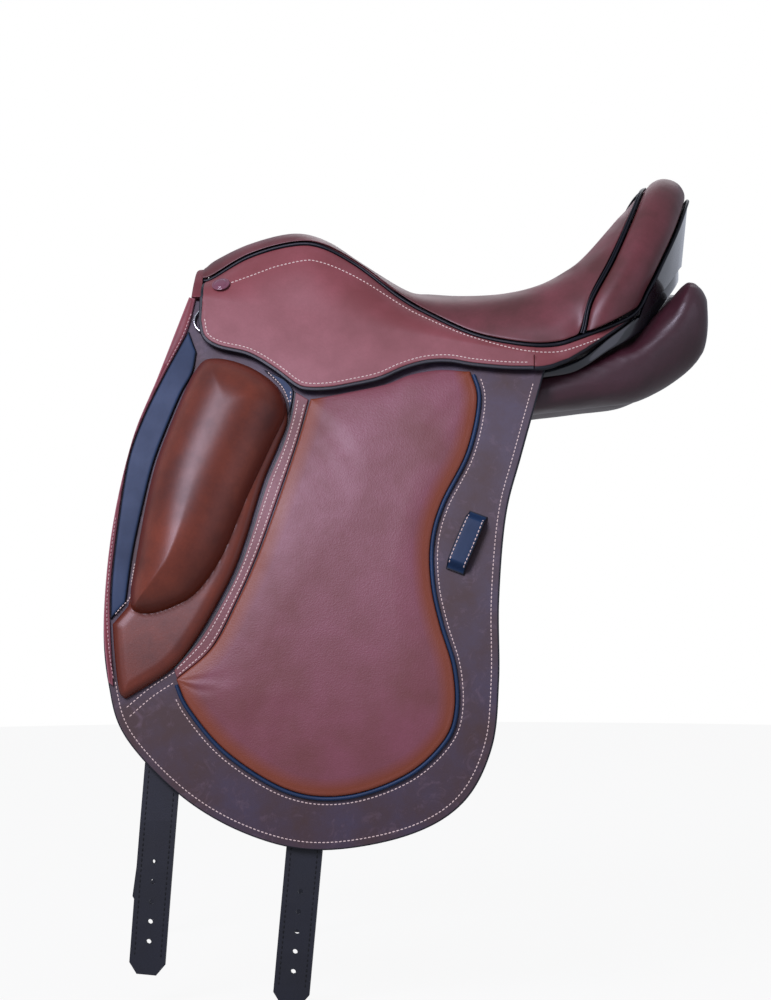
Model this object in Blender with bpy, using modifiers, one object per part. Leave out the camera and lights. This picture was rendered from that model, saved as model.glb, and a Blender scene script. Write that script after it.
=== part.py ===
"""Dressage saddle, modelled in metres.

X runs rearwards, Z up, and the saddle is symmetric about Y = 0, with the near (left) side at
negative Y. The origin is on the horse's back under the lowest point of the seat.
Leather on the sides lies on one hanging surface. A place on it is given as (x, z), and a layer
by its height over the outer face of the flap, positive away from the horse.
"""
import math

import bmesh
import bpy
import numpy as np
from mathutils import Matrix, Vector

# Clearance between pieces that touch
GAP = 0.0003
MERGE = 0.00005

# Leather and wall thicknesses
FLAP_LEATHER = 0.004
SKIRT_LEATHER = 0.003
WEB_LEATHER = 0.002
BILLET_LEATHER = 0.004
SWEAT_LEATHER = 0.003
COVER_LEATHER = 0.002
PATENT_LEATHER = 0.002
TREE_WALL = 0.007
HEAD_PLATE_STEEL = 0.003
SPRING_STEEL = 0.002
SPRING_DROP = 0.0036

# Room between layers
SKIRT_STANDOFF = 0.006
BILLET_PLAY = 0.0022

# The hanging surface: half width of the saddle at a place (x, z)
HANG_TOP = 0.100
HANG_HALF_WIDTH = 0.100
HANG_SPREAD = 0.47
HANG_TURN_IN = 0.439
HANG_TOE = 0.10
HANG_TOE_X = -0.110

# Fold line of flap and skirt
FOLD_FRONT = (-0.2756, 0.1050)
FOLD_REAR = (0.0452, 0.0450)
SKIRT_REAR_X = 0.0357

# Seat
WELT_RADIUS = 0.002
SEAM_ROOM = 0.0037
GUSSET_WELT_RADIUS = 0.0021
RIB_SWEEP = 0.07
RIB_STEPS = 11
STATIONS_PER_RIB = 2
FOAM_CLEARANCE = 0.0014

# Stirrup bar and its catch
BAR_X = -0.2063
BAR_LENGTH = 0.080
BAR_HEIGHT = 0.018
BAR_TOP = 0.008
BAR_THICKNESS = 0.004
BAR_PROUD = 0.0035
BAR_BASE = 0.003
CATCH_PIN_RADIUS = 0.0025
CATCH_LENGTH = 0.015
CATCH_THICKNESS = 0.004

# Billets
BILLET_WIDTH = 0.032
BILLET_LENGTH = 0.590
BILLET_HOLES = 5
BILLET_HOLE_RADIUS = 0.0024
BILLET_HOLE_PITCH = 0.018
BILLET_LAST_HOLE = 0.020
WEB_WIDTH = 0.038
BILLET_HEADS = {
    "front": (-0.2687, 4.4),
    "rear": (BAR_X + BAR_LENGTH / 2.0 + CATCH_LENGTH + WEB_WIDTH / 2.0 + GAP, 5.2),
}
FAR_SIDE_LEAN = {"front": 3.2, "rear": 0.9}
BILLET_PIVOT_DROP = 0.020
BILLET_PIN_RADIUS = 0.003
BILLET_HEAD_MARGIN = 0.011

# Dee ring
DEE_WIRE = 0.0026
DEE_LENGTH = 0.0225
DEE_HEIGHT = 0.026
DEE_HINGE = (-0.2562, 0.0820)
DEE_CHAPE_WIDTH = 0.011
DEE_CHAPE_LENGTH = 0.0165
DEE_CHAPE_WALL = 0.0012

# Keeper loop on the flap border
KEEPER_CENTRE = (-0.0277, -0.1200)
KEEPER_LENGTH = 0.058
KEEPER_WIDTH = 0.018
KEEPER_RISE = 0.0082
KEEPER_LEATHER = 0.0018
KEEPER_TILT = math.radians(24.0)

# Pads on the flap
GRIP_PAD_EDGE = 0.0015
GRIP_PAD_CROWN = 0.0050
GRIP_PAD_ROLL = 0.020
PAD_PIPING_RADIUS = 0.0016
BLOCK_BASE_HEIGHT = 0.009
BLOCK_BASE_ROLL = 0.012
BLOCK_HEIGHT = 0.040
BLOCK_ROLL = 0.046
INLAY_HEIGHT = 0.003
BINDING_HEIGHT = 0.0042
NAIL_RADIUS = 0.0085
NAIL_HEIGHT = 0.0035
NAIL_PLACE = 0.62
NAIL_X = -0.2505

# Colours, as linear red, green, blue
CHESTNUT = (0.20, 0.075, 0.060)
TAN = (0.22, 0.075, 0.035)
MAUVE_BROWN = (0.17, 0.070, 0.070)
WAXED = (0.075, 0.052, 0.062)
DARK_BROWN = (0.045, 0.025, 0.030)
NAVY_BLACK = (0.012, 0.017, 0.033)
BLACK = (0.010, 0.011, 0.014)
STEEL = (0.60, 0.61, 0.63)
FOAM = (0.62, 0.55, 0.40)
TREE_RESIN = (0.10, 0.08, 0.07)

# Layers on the hanging surface, from the skirt inwards
SKIRT_FACE = SKIRT_STANDOFF + SKIRT_LEATHER
HINGE_HEIGHT = SKIRT_FACE + GAP
FLAP_BACK = -FLAP_LEATHER
WEB_FACE = FLAP_BACK - GAP
WEB_BACK = WEB_FACE - WEB_LEATHER
BILLET_FACE = WEB_BACK - GAP
BILLET_BACK = BILLET_FACE - BILLET_LEATHER
SWEAT_FACE = BILLET_BACK - BILLET_PLAY
SWEAT_BACK = SWEAT_FACE - SWEAT_LEATHER
TREE_FACE = WEB_BACK - GAP
TREE_BACK = TREE_FACE - TREE_WALL
PLATE_FACE = TREE_BACK - 2.5 * GAP
PLATE_BACK = PLATE_FACE - HEAD_PLATE_STEEL

# Seat ribs from pommel to gusset: welt x, half width, z, then crown x, z and shoulder lift
SEAT_RIBS = [
    (-0.2718, 0.0550, 0.1240, -0.2736, 0.1388, 0.0000),
    (-0.2625, 0.0560, 0.1268, -0.2620, 0.1490, 0.0000),
    (-0.2292, 0.0600, 0.1460, -0.2280, 0.1645, 0.0000),
    (-0.1905, 0.0645, 0.1570, -0.1860, 0.1737, 0.0000),
    (-0.1618, 0.0690, 0.1558, -0.1540, 0.1650, 0.0000),
    (-0.1272, 0.0740, 0.1375, -0.1220, 0.1425, 0.0000),
    (-0.0871, 0.0880, 0.1062, -0.0850, 0.1202, 0.0010),
    (-0.0592, 0.1030, 0.0892, -0.0550, 0.1127, 0.0010),
    (-0.0187, 0.1240, 0.0695, -0.0120, 0.1070, 0.0080),
    (0.0224, 0.1380, 0.0604, 0.0260, 0.1095, 0.0120),
    (0.0522, 0.1405, 0.0595, 0.0520, 0.1163, 0.0160),
]
# Cantle rim: front seam x, half width, z, back seam x, half width, z, swell of the roll
CANTLE_RIM = [
    (0.0767, 0.1380, 0.0666, 0.1258, 0.1150, 0.0878, 0.0100),
    (0.0864, 0.1300, 0.1000, 0.1426, 0.1060, 0.1120, 0.0140),
    (0.1078, 0.1100, 0.1390, 0.1566, 0.0920, 0.1380, 0.0160),
    (0.1261, 0.0840, 0.1780, 0.1723, 0.0680, 0.1690, 0.0170),
    (0.1396, 0.0480, 0.2070, 0.1833, 0.0380, 0.1940, 0.0170),
    (0.1480, 0.0000, 0.2170, 0.1890, 0.0000, 0.2050, 0.0170),
]
# Crown x, z and shoulder lift of the seat ribs that end on the front seam of the rim
CANTLE_CROWNS = [
    (0.0680, 0.1258, 0.018),
    (0.0800, 0.1342, 0.013),
    (0.0980, 0.1518, 0.012),
    (0.1180, 0.1765, 0.008),
    (0.1370, 0.2012, 0.003),
    (0.1480, 0.2170, 0.000),
]
# Tree: crown x, z for each seat rib, then edge x, half width, z and crown x, z behind the waist
TREE_CROWNS = [
    (-0.2665, 0.1270), (-0.2560, 0.1390), (-0.2260, 0.1530), (-0.1860, 0.1620),
    (-0.1540, 0.1520), (-0.1220, 0.1300), (-0.0850, 0.1060), (-0.0550, 0.0950),
    (-0.0120, 0.0850),
]
TREE_REAR = [
    (0.0233, 0.1240, 0.0520, 0.0300, 0.0780),
    (0.0534, 0.1230, 0.0530, 0.0700, 0.0800),
    (0.0866, 0.1200, 0.0600, 0.1120, 0.0900),
    (0.1180, 0.1020, 0.0870, 0.1470, 0.1080),
    (0.1461, 0.0840, 0.1240, 0.1650, 0.1400),
    (0.1640, 0.0580, 0.1640, 0.1740, 0.1670),
    (0.1739, 0.0300, 0.1880, 0.1770, 0.1870),
    (0.1785, 0.0000, 0.1960, 0.1785, 0.1960),
]
# Lower edge of the cantle back: x, half width, z
CANTLE_BACK_HEM = [
    (0.1255, 0.1140, 0.0800), (0.1408, 0.1030, 0.0920), (0.1540, 0.0860, 0.1080),
    (0.1672, 0.0620, 0.1240), (0.1776, 0.0350, 0.1370), (0.1830, 0.0000, 0.1420),
]
# Hem of the skirt behind its moving part: x, half width, z
SKIRT_REAR_HEM = [
    (0.0357, 0.1455, 0.0372), (0.0517, 0.1470, 0.0395), (0.0663, 0.1455, 0.0445),
    (0.0828, 0.1405, 0.0546), (0.1045, 0.1295, 0.0693), (0.1216, 0.1185, 0.0815),
]
# Upper edge of the patent strip over the panel: x, half width, z, height
REAR_FACING = [
    (0.0392, 0.1265, 0.0375, 0.0080), (0.0676, 0.1280, 0.0430, 0.0090),
    (0.0838, 0.1265, 0.0500, 0.0090), (0.1051, 0.1200, 0.0667, 0.0117),
    (0.1260, 0.1080, 0.0819, 0.0154), (0.1435, 0.0930, 0.0959, 0.0154),
    (0.1589, 0.0730, 0.1144, 0.0154), (0.1729, 0.0450, 0.1324, 0.0154),
    (0.1790, 0.0150, 0.1404, 0.0154), (0.1805, 0.0000, 0.1414, 0.0154),
]
# Front of the pommel: half width and z of its outer edge, then of its inner edge
POMMEL_EDGES = [
    (-0.0830, 0.1076, -0.0725, 0.1076), (-0.0750, 0.1145, -0.0650, 0.1088),
    (-0.0570, 0.1265, -0.0480, 0.1120), (-0.0320, 0.1365, -0.0230, 0.1160),
    (0.0000, 0.1382, 0.0000, 0.1175),
]
POMMEL_REAR_X = -0.2723
POMMEL_FRONT_X = -0.2810
# Panel stations: x, how far the centre lies inside HANG_HALF_WIDTH, centre z, half breadth,
# half thickness, lean in degrees
PANEL = [
    (-0.2765, 0.0201, 0.0380, 0.0200, 0.0030, 66),
    (-0.2715, 0.0201, 0.0380, 0.0420, 0.0085, 66),
    (-0.2555, 0.0201, 0.0400, 0.0520, 0.0120, 65),
    (-0.2056, 0.0191, 0.0400, 0.0560, 0.0150, 61),
    (-0.1451, 0.0261, 0.0320, 0.0510, 0.0190, 48),
    (-0.0754, 0.0211, 0.0230, 0.0500, 0.0220, 32),
    (-0.0058, 0.0166, 0.0205, 0.0495, 0.0235, 20),
    (0.0440, 0.0131, 0.0210, 0.0510, 0.0195, 13),
    (0.0941, 0.0150, 0.0290, 0.0500, 0.0230, 8),
    (0.1292, 0.0170, 0.0395, 0.0460, 0.0300, 5),
    (0.1544, 0.0200, 0.0560, 0.0420, 0.0360, 2),
    (0.1746, 0.0220, 0.0730, 0.0370, 0.0400, 0),
    (0.1886, 0.0230, 0.0815, 0.0290, 0.0340, 0),
    (0.1966, 0.0230, 0.0840, 0.0180, 0.0200, 0),
    (0.1994, 0.0230, 0.0850, 0.0040, 0.0040, 0),
]

PANEL_STATIONS = (0, 1, 2, 3, 3.5, 4, 4.5, 5, 5.5, 6, 6.5, 7, 7.5, 8, 8.5, 9, 9.5, 10, 10.5, 11,
                  11.5, 12, 12.5, 13, 14)

# Outlines on the hanging surface; a third entry marks a corner
FLAP_FRONT_X = -0.2838
FLAP_REAR_X = 0.0467
FLAP_STEP = 0.0085
NOTCH_ROOM = 0.0067
NOTCH_CATCH_ROOM = 0.0018
NOTCH_FRONT_X = BAR_X - BAR_LENGTH / 2.0 - NOTCH_ROOM
NOTCH_REAR_X = BAR_X + BAR_LENGTH / 2.0 + CATCH_LENGTH + NOTCH_CATCH_ROOM
NOTCH_DEPTH = 0.034
FLAP_EDGE = [
    (-0.3100, 0.0320), (-0.3322, -0.0280), (-0.3482, -0.1090), (-0.3536, -0.1900),
    (-0.3484, -0.2450), (-0.3322, -0.2930), (-0.2805, -0.3455), (-0.2209, -0.3782),
    (-0.1584, -0.3906), (-0.0829, -0.3775), (-0.0331, -0.3485), (-0.0070, -0.3000),
    (-0.0002, -0.2400), (0.0004, -0.1700), (0.0074, -0.0950), (0.0221, -0.0400),
]
FLAP_HEAD_HEIGHT = 0.007
FLAP_HEAD_REAR_HEIGHT = 0.003
SWEAT_EDGE = [
    (-0.2674, 0.0500, 1), (-0.3007, -0.0020), (-0.3252, -0.0700), (-0.3384, -0.1350),
    (-0.3413, -0.1900), (-0.3322, -0.2480), (-0.3039, -0.2980), (-0.2545, -0.3340),
    (-0.2000, -0.3530), (-0.1454, -0.3570), (-0.0907, -0.3470), (-0.0488, -0.3200),
    (-0.0256, -0.2800), (-0.0181, -0.2300), (-0.0163, -0.1700), (-0.0089, -0.0950),
    (0.0042, -0.0400), (0.0212, 0.0040, 1),
]
SKIRT_HEM = [
    (-0.2729, 0.0809), (-0.2683, 0.0647), (-0.2539, 0.0551), (-0.2256, 0.0478),
    (-0.2021, 0.0340), (-0.1834, 0.0199), (-0.1722, 0.0155), (-0.1510, 0.0156),
    (-0.1281, 0.0195), (-0.1043, 0.0249), (-0.0833, 0.0340), (-0.0623, 0.0398),
    (-0.0413, 0.0407), (-0.0204, 0.0372), (0.0103, 0.0342),
]
SKIRT_FRONT_X = -0.2722
SKIRT_REAR_Z = 0.0337
GRIP_PAD_EDGE_POINTS = [
    (-0.1686, 0.0100, 1), (-0.1293, 0.0175), (-0.0994, 0.0240), (-0.0778, 0.0325),
    (-0.0502, 0.0370), (-0.0230, 0.0350, 1), (-0.0169, 0.0080), (-0.0273, -0.0393),
    (-0.0504, -0.0850), (-0.0601, -0.1200), (-0.0595, -0.1580), (-0.0520, -0.1931),
    (-0.0410, -0.2300), (-0.0392, -0.2670), (-0.0493, -0.2942), (-0.0819, -0.3235),
    (-0.1342, -0.3421), (-0.1850, -0.3382), (-0.2390, -0.3066), (-0.2738, -0.2680),
    (-0.2867, -0.2419, 1), (-0.2544, -0.2132), (-0.2321, -0.1713), (-0.2144, -0.1311),
    (-0.1968, -0.0816), (-0.1791, -0.0275),
]
BLOCK_EDGE = [
    (-0.2749, 0.0338), (-0.2636, 0.0450), (-0.2418, 0.0440), (-0.2163, 0.0340),
    (-0.1959, 0.0170), (-0.1896, -0.0079), (-0.1977, -0.0335), (-0.2102, -0.0644),
    (-0.2250, -0.1139), (-0.2346, -0.1417), (-0.2478, -0.1693), (-0.2693, -0.2062),
    (-0.2916, -0.2334), (-0.3323, -0.2595, 1), (-0.3380, -0.2516), (-0.3425, -0.2200),
    (-0.3448, -0.1935, 1), (-0.3311, -0.1775, 1), (-0.3288, -0.1665), (-0.3257, -0.1442),
    (-0.3161, -0.0842), (-0.3079, -0.0480), (-0.2968, -0.0165), (-0.2842, 0.0153),
]
BOLSTER_EDGE = [
    (-0.2749, 0.0338), (-0.2636, 0.0450), (-0.2418, 0.0440), (-0.2163, 0.0340),
    (-0.1959, 0.0170), (-0.1905, -0.0050), (-0.2025, -0.0347), (-0.2224, -0.0797),
    (-0.2443, -0.1333), (-0.2667, -0.1661), (-0.2887, -0.1795), (-0.3110, -0.1860),
    (-0.3262, -0.1824), (-0.3288, -0.1665), (-0.3257, -0.1442), (-0.3161, -0.0842),
    (-0.3079, -0.0480), (-0.2968, -0.0165), (-0.2842, 0.0153),
]
INLAY_EDGE = [
    (-0.2823, 0.0740, 1), (-0.2919, 0.0553), (-0.3052, 0.0289), (-0.3209, -0.0057),
    (-0.3321, -0.0381), (-0.3376, -0.0685), (-0.3414, -0.1004), (-0.3451, -0.1367),
    (-0.3467, -0.1637), (-0.3466, -0.1890, 1), (-0.3333, -0.1745, 1), (-0.3280, -0.1300),
    (-0.3193, -0.0842), (-0.3110, -0.0480), (-0.3001, -0.0165), (-0.2876, 0.0153),
    (-0.2778, 0.0345), (-0.2745, 0.0540, 1),
]
BINDING_INNER_EDGE = [
    (-0.3432, -0.2480, 1), (-0.3470, -0.1960), (-0.3477, -0.1637), (-0.3461, -0.1367),
    (-0.3424, -0.1004), (-0.3386, -0.0685), (-0.3331, -0.0381), (-0.3219, -0.0057),
    (-0.3062, 0.0289), (-0.2929, 0.0553), (-0.2833, 0.0762),
]
BINDING_TOP_X = -0.2768
BINDING_INSET = 0.0008


def clear_scene():
    """Remove every object that is in the file."""
    for old in list(bpy.data.objects):
        bpy.data.objects.remove(old, do_unlink=True)


def new_collection(name):
    """Collection linked to the scene."""
    collection = bpy.data.collections.new(name)
    bpy.context.scene.collection.children.link(collection)
    return collection


clear_scene()
PARTS = new_collection("dressage_saddle")
CUTTERS = new_collection("cutters")


def material(name, colour, roughness, metallic=0.0):
    """Principled material of one part."""
    made = bpy.data.materials.new(name)
    made.use_nodes = True
    shader = made.node_tree.nodes["Principled BSDF"]
    shader.inputs["Base Color"].default_value = (*colour, 1.0)
    shader.inputs["Roughness"].default_value = roughness
    shader.inputs["Metallic"].default_value = metallic
    return made


def half_width(x, z):
    """Half width of the hanging surface: a parabola downwards, widening rearwards."""
    drop = HANG_TOP - z
    return (HANG_HALF_WIDTH + HANG_SPREAD * drop - HANG_TURN_IN * drop * drop
            + HANG_TOE * (x - HANG_TOE_X))


def side_normal(z):
    """Unit vector away from the horse, on the left side."""
    drop = HANG_TOP - z
    return Vector((-HANG_TOE, -1.0, HANG_SPREAD - 2.0 * HANG_TURN_IN * drop)).normalized()


def on_side(x, z, height):
    """Point on the left side, at a height over the outer face of the flap."""
    return Vector((x, -half_width(x, z), z)) + side_normal(z) * float(height)


def fold_z(x):
    """Height of the fold line."""
    share = (x - FOLD_FRONT[0]) / (FOLD_REAR[0] - FOLD_FRONT[0])
    return FOLD_FRONT[1] + share * (FOLD_REAR[1] - FOLD_FRONT[1])


def below_fold(x, drop):
    """Place (x, z) at a distance below the fold line."""
    return x, fold_z(x) - drop


def side_frame(x, z, height, turn=0.0):
    """Axes on the left side: X along the fold line rearwards, Y up the side, Z outwards.

    turn rotates X towards Y about Z.
    """
    out = side_normal(z)
    slope = fold_z(1.0) - fold_z(0.0)
    along = on_side(x + 0.01, z + 0.01 * slope, height) - on_side(x, z, height)
    along = (along - along.dot(out) * out).normalized()
    up = out.cross(along)
    frame = Matrix((along, up, out)).transposed().to_4x4()
    return Matrix.Translation(on_side(x, z, height)) @ frame @ Matrix.Rotation(turn, 4, 'Z')


def spline(points, positions):
    """Catmull-Rom curve through rows of points; positions are counted in rows."""
    rows = np.asarray(points, float)
    rows = np.vstack([2 * rows[0] - rows[1], rows, 2 * rows[-1] - rows[-2]])
    samples = []
    for position in positions:
        start = min(int(position), len(rows) - 4)
        share = position - start
        a, b, c, d = rows[start:start + 4]
        cubic = 3 * (b - c) + d - a
        samples.append(b + 0.5 * share * (c - a + share * (2 * a - 5 * b + 4 * c - d
                                                           + share * cubic)))
    return np.array(samples)


def smooth(points, count):
    """Catmull-Rom curve through rows of points, at evenly spaced positions."""
    return spline(points, np.linspace(0.0, len(points) - 1.0, count))


def unit(vectors):
    """Vectors along the last axis at length one; a zero vector stays zero."""
    length = np.linalg.norm(vectors, axis=-1, keepdims=True)
    return vectors / np.maximum(length, 1e-9)


def square_to(direction, tangent):
    """Unit part of each direction that is square to the tangent."""
    return unit(direction - (direction * tangent).sum(-1, keepdims=True) * tangent)


def grid_normals(grid):
    """Normals of a grid of points, upwards where rows run rearwards and columns to the right."""
    return unit(np.cross(np.gradient(grid, axis=0), np.gradient(grid, axis=1)))


def mirrored_rows(left_rows, y_columns):
    """Rows from the left end over the middle to the right end, from rows given for one side."""
    left = np.array(left_rows, float)
    left[:, y_columns] *= -1.0
    right = left[-2::-1].copy()
    right[:, y_columns] *= -1.0
    return np.vstack([left, right])


def set_shading(mesh):
    """Smooth faces with sharp corners."""
    mesh.shade_smooth()
    mesh.set_sharp_from_angle(angle=math.radians(40.0))


def add_part(name, mesh_data, surface, hinge=None, right=False):
    """Turn a bmesh into a named object; right mirrors the left shape over the middle plane."""
    if right:
        bmesh.ops.scale(mesh_data, vec=(1.0, -1.0, 1.0), verts=mesh_data.verts)
        bmesh.ops.reverse_faces(mesh_data, faces=mesh_data.faces)
    if hinge is not None:
        bmesh.ops.translate(mesh_data, vec=-hinge.location, verts=mesh_data.verts)
    mesh = bpy.data.meshes.new(name)
    mesh_data.to_mesh(mesh)
    mesh_data.free()
    set_shading(mesh)
    mesh.materials.append(surface)
    part = bpy.data.objects.new(name, mesh)
    PARTS.objects.link(part)
    part.parent = hinge
    return part


def add_hinge(name, point):
    """Empty on a joint axis."""
    hinge = bpy.data.objects.new(name, None)
    PARTS.objects.link(hinge)
    hinge.location = point
    return hinge


def solidify(part, thickness, offset=-1.0):
    """Give an open surface its thickness."""
    shell = part.modifiers.new("thickness", 'SOLIDIFY')
    shell.thickness = thickness
    shell.offset = offset
    return part


def face_outwards(made):
    """Turn the faces of a closed shape outwards."""
    bmesh.ops.recalc_face_normals(made, faces=made.faces)
    if made.calc_volume(signed=True) < 0.0:
        bmesh.ops.reverse_faces(made, faces=made.faces)


def loft(rows, closed=False, caps=False, away_from=None):
    """Faces between successive rows of points, with flat caps on closed rows if wanted."""
    made = bmesh.new()
    grid = [[made.verts.new(point) for point in row] for row in rows]
    for row, following in zip(grid, grid[1:]):
        count = len(row) if closed else len(row) - 1
        for index in range(count):
            after = (index + 1) % len(row)
            made.faces.new((row[index], row[after], following[after], following[index]))
    if caps:
        made.faces.new(grid[0][::-1])
        made.faces.new(grid[-1])
    bmesh.ops.remove_doubles(made, verts=made.verts, dist=MERGE)
    face_outwards(made)
    if away_from is not None:
        centre = Vector(away_from)
        facing = sum(face.normal.dot(face.calc_center_median() - centre) for face in made.faces)
        if facing < 0.0:
            bmesh.ops.reverse_faces(made, faces=made.faces)
    return made


def curve_mesh(splines, thickness, steps):
    """Filled flat outlines as a closed plate between Z = 0 and the thickness."""
    curve = bpy.data.curves.new("outline", 'CURVE')
    curve.dimensions = '2D'
    curve.fill_mode = 'BOTH'
    curve.extrude = thickness / 2.0
    curve.resolution_u = steps
    for points in splines:
        spline = curve.splines.new('BEZIER')
        spline.bezier_points.add(len(points) - 1)
        for knot, point in zip(spline.bezier_points, points):
            knot.co = (point[0], point[1], 0.0)
            kind = 'VECTOR' if len(point) > 2 else 'AUTO'
            knot.handle_left_type = kind
            knot.handle_right_type = kind
        spline.use_cyclic_u = True
    holder = bpy.data.objects.new("outline", curve)
    bpy.context.scene.collection.objects.link(holder)
    bpy.context.view_layer.update()
    graph = bpy.context.evaluated_depsgraph_get()
    mesh = bpy.data.meshes.new_from_object(holder.evaluated_get(graph))
    made = bmesh.new()
    made.from_mesh(mesh)
    bpy.data.meshes.remove(mesh)
    bpy.data.objects.remove(holder, do_unlink=True)
    bpy.data.curves.remove(curve)
    bmesh.ops.remove_doubles(made, verts=made.verts, dist=1e-6)
    bmesh.ops.dissolve_limit(made, angle_limit=0.005, verts=made.verts, edges=made.edges)
    bmesh.ops.translate(made, vec=(0.0, 0.0, thickness / 2.0), verts=made.verts)
    return made


def cross_cut(made, axis, spacing):
    """Cut the plate by evenly spaced lines, so that it can bend."""
    places = [vert.co[axis] for vert in made.verts]
    low = min(places)
    count = max(1, round((max(places) - low) / spacing))
    direction = Vector((0.0, 0.0, 0.0))
    direction[axis] = 1.0
    for index in range(1, count):
        place = low + (max(places) - low) * index / count
        everything = made.verts[:] + made.edges[:] + made.faces[:]
        bmesh.ops.bisect_plane(made, geom=everything, dist=1e-6,
                               plane_co=direction * place, plane_no=direction)


def edge_distance(places, outline):
    """Distance of each place from a closed outline, negative outside it."""
    start = np.asarray(outline)
    end = np.roll(start, -1, axis=0)
    span = end - start
    offset = places[:, None, :] - start[None]
    share = np.clip((offset * span).sum(2) / (span * span).sum(1), 0.0, 1.0)
    distance = np.linalg.norm(offset - share[..., None] * span, axis=2).min(1)
    crosses = (start[None, :, 1] > places[:, None, 1]) != (end[None, :, 1] > places[:, None, 1])
    rise = np.where(np.abs(span[:, 1]) < 1e-12, 1e-12, span[:, 1])
    reach = start[:, 0] + (places[:, None, 1] - start[:, 1]) * span[:, 0] / rise
    inside = (crosses & (places[:, None, 0] < reach)).sum(1) % 2 == 1
    return np.where(inside, distance, -distance)


def dome(distance, roll):
    """Share of full height at a distance from the edge: a quarter ellipse as wide as roll."""
    share = np.clip(distance / roll, 0.0, 1.0)
    return np.sqrt(1.0 - (1.0 - share) ** 2)


def closed_outline(points, count):
    """Smooth closed outline as rows (x, z)."""
    flat = [point[:2] for point in points]
    return smooth(flat + flat[:1], count)[:-1]


def bent_sheet(splines, back, height, spacing_x=None, spacing_z=0.030, rings=(), steps=4):
    """Closed sheet on the left side.

    back is the height of its inner face, and height gives that of its outer face, as a number
    or as a function of an array of places (x, z). rings are widths of edge rings for a roll.
    """
    made = curve_mesh(splines, 1.0, steps)
    top = max(made.faces, key=lambda face: (face.normal.z > 0.9) * face.calc_area())
    for width in rings:
        bmesh.ops.inset_region(made, faces=[top], thickness=width, use_even_offset=True)
    if spacing_x:
        cross_cut(made, 0, spacing_x)
    cross_cut(made, 1, spacing_z)
    verts = list(made.verts)
    places = np.array([(vert.co.x, vert.co.y) for vert in verts])
    outer = height(places) if callable(height) else np.full(len(verts), height)
    for vert, level in zip(verts, outer):
        x, z, is_outer = vert.co.x, vert.co.y, vert.co.z > 0.5
        vert.co = on_side(x, z, level if is_outer else back)
    face_outwards(made)
    return made


def framed_plate(splines, thickness, frame, steps=4):
    """Flat plate from outlines, centred on its thickness and placed by a frame."""
    made = curve_mesh(splines, thickness, steps)
    bmesh.ops.translate(made, vec=(0.0, 0.0, -thickness / 2.0), verts=made.verts)
    bmesh.ops.transform(made, matrix=frame, verts=made.verts)
    face_outwards(made)
    return made


def circle(x, y, radius, corners=12):
    """Closed outline of straight edges round a centre."""
    angles = [2.0 * math.pi * index / corners for index in range(corners)]
    return [(x + radius * math.cos(a), y + radius * math.sin(a), 1) for a in angles]


def cylinder(frame, radius, low, high, corners=12):
    """Closed cylinder along Z of a frame, from low to high."""
    made = bmesh.new()
    bmesh.ops.create_cone(made, cap_ends=True, segments=corners, radius1=radius, radius2=radius,
                          depth=high - low)
    bmesh.ops.translate(made, vec=(0.0, 0.0, (low + high) / 2.0), verts=made.verts)
    bmesh.ops.transform(made, matrix=frame, verts=made.verts)
    face_outwards(made)
    return made


def add_cutter(name, made, right):
    """Object that a Boolean modifier uses; the build leaves it out."""
    if right:
        bmesh.ops.scale(made, vec=(1.0, -1.0, 1.0), verts=made.verts)
        bmesh.ops.reverse_faces(made, faces=made.faces)
    mesh = bpy.data.meshes.new(name)
    made.to_mesh(mesh)
    made.free()
    cutter = bpy.data.objects.new(name, mesh)
    CUTTERS.objects.link(cutter)
    cutter.hide_render = True
    cutter.display_type = 'WIRE'
    return cutter


def combine(part, cutter, operation):
    """Join or cut a part with a cutter object."""
    boolean = part.modifiers.new(cutter.name, 'BOOLEAN')
    boolean.operation = operation
    boolean.solver = 'EXACT'
    boolean.object = cutter


def add_tube(name, points, radius, surface, hinge=None, right=False, cyclic=False, sides=1):
    """Round cord or wire through points given for the left side."""
    curve = bpy.data.curves.new(name, 'CURVE')
    curve.dimensions = '3D'
    curve.bevel_depth = radius
    curve.bevel_resolution = sides
    curve.use_fill_caps = True
    spline = curve.splines.new('POLY')
    spline.points.add(len(points) - 1)
    origin = hinge.location if hinge is not None else Vector((0.0, 0.0, 0.0))
    for knot, point in zip(spline.points, points):
        y = -point[1] if right else point[1]
        knot.co = (point[0] - origin.x, y - origin.y, point[2] - origin.z, 1.0)
    spline.use_cyclic_u = cyclic
    curve.materials.append(surface)
    part = bpy.data.objects.new(name, curve)
    PARTS.objects.link(part)
    part.parent = hinge
    return part


def arch(edge, crown, across, lift, reach=1.0, steps=RIB_STEPS, power=2.5, root=1.9):
    """One rib from left to right: across is its half width, and it rises as a rounded arch."""
    share = reach * np.sin(np.linspace(-math.pi / 2.0, math.pi / 2.0, steps))
    rise = (1.0 - np.abs(share) ** power) ** (1.0 / root)
    x = edge[0] + (crown[0] - edge[0]) * rise
    z = edge[1] + (crown[1] - edge[1]) * rise + 4.0 * lift * share ** 2 * (1.0 - share ** 2)
    return np.column_stack([x, across * share, z])


def seat_table():
    """Edge x, half width, z, crown x, z and lift at every station, pommel to cantle."""
    rim = [front[:3] + crown for front, crown in zip(CANTLE_RIM, CANTLE_CROWNS)]
    rows = SEAT_RIBS + rim
    table = smooth(rows, (len(rows) - 1) * STATIONS_PER_RIB + 1)
    sewn = len(SEAT_RIBS) * STATIONS_PER_RIB + 1
    table[:sewn, :3] = seam_points()[:sewn] * (1.0, -1.0, 1.0)
    return table


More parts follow.
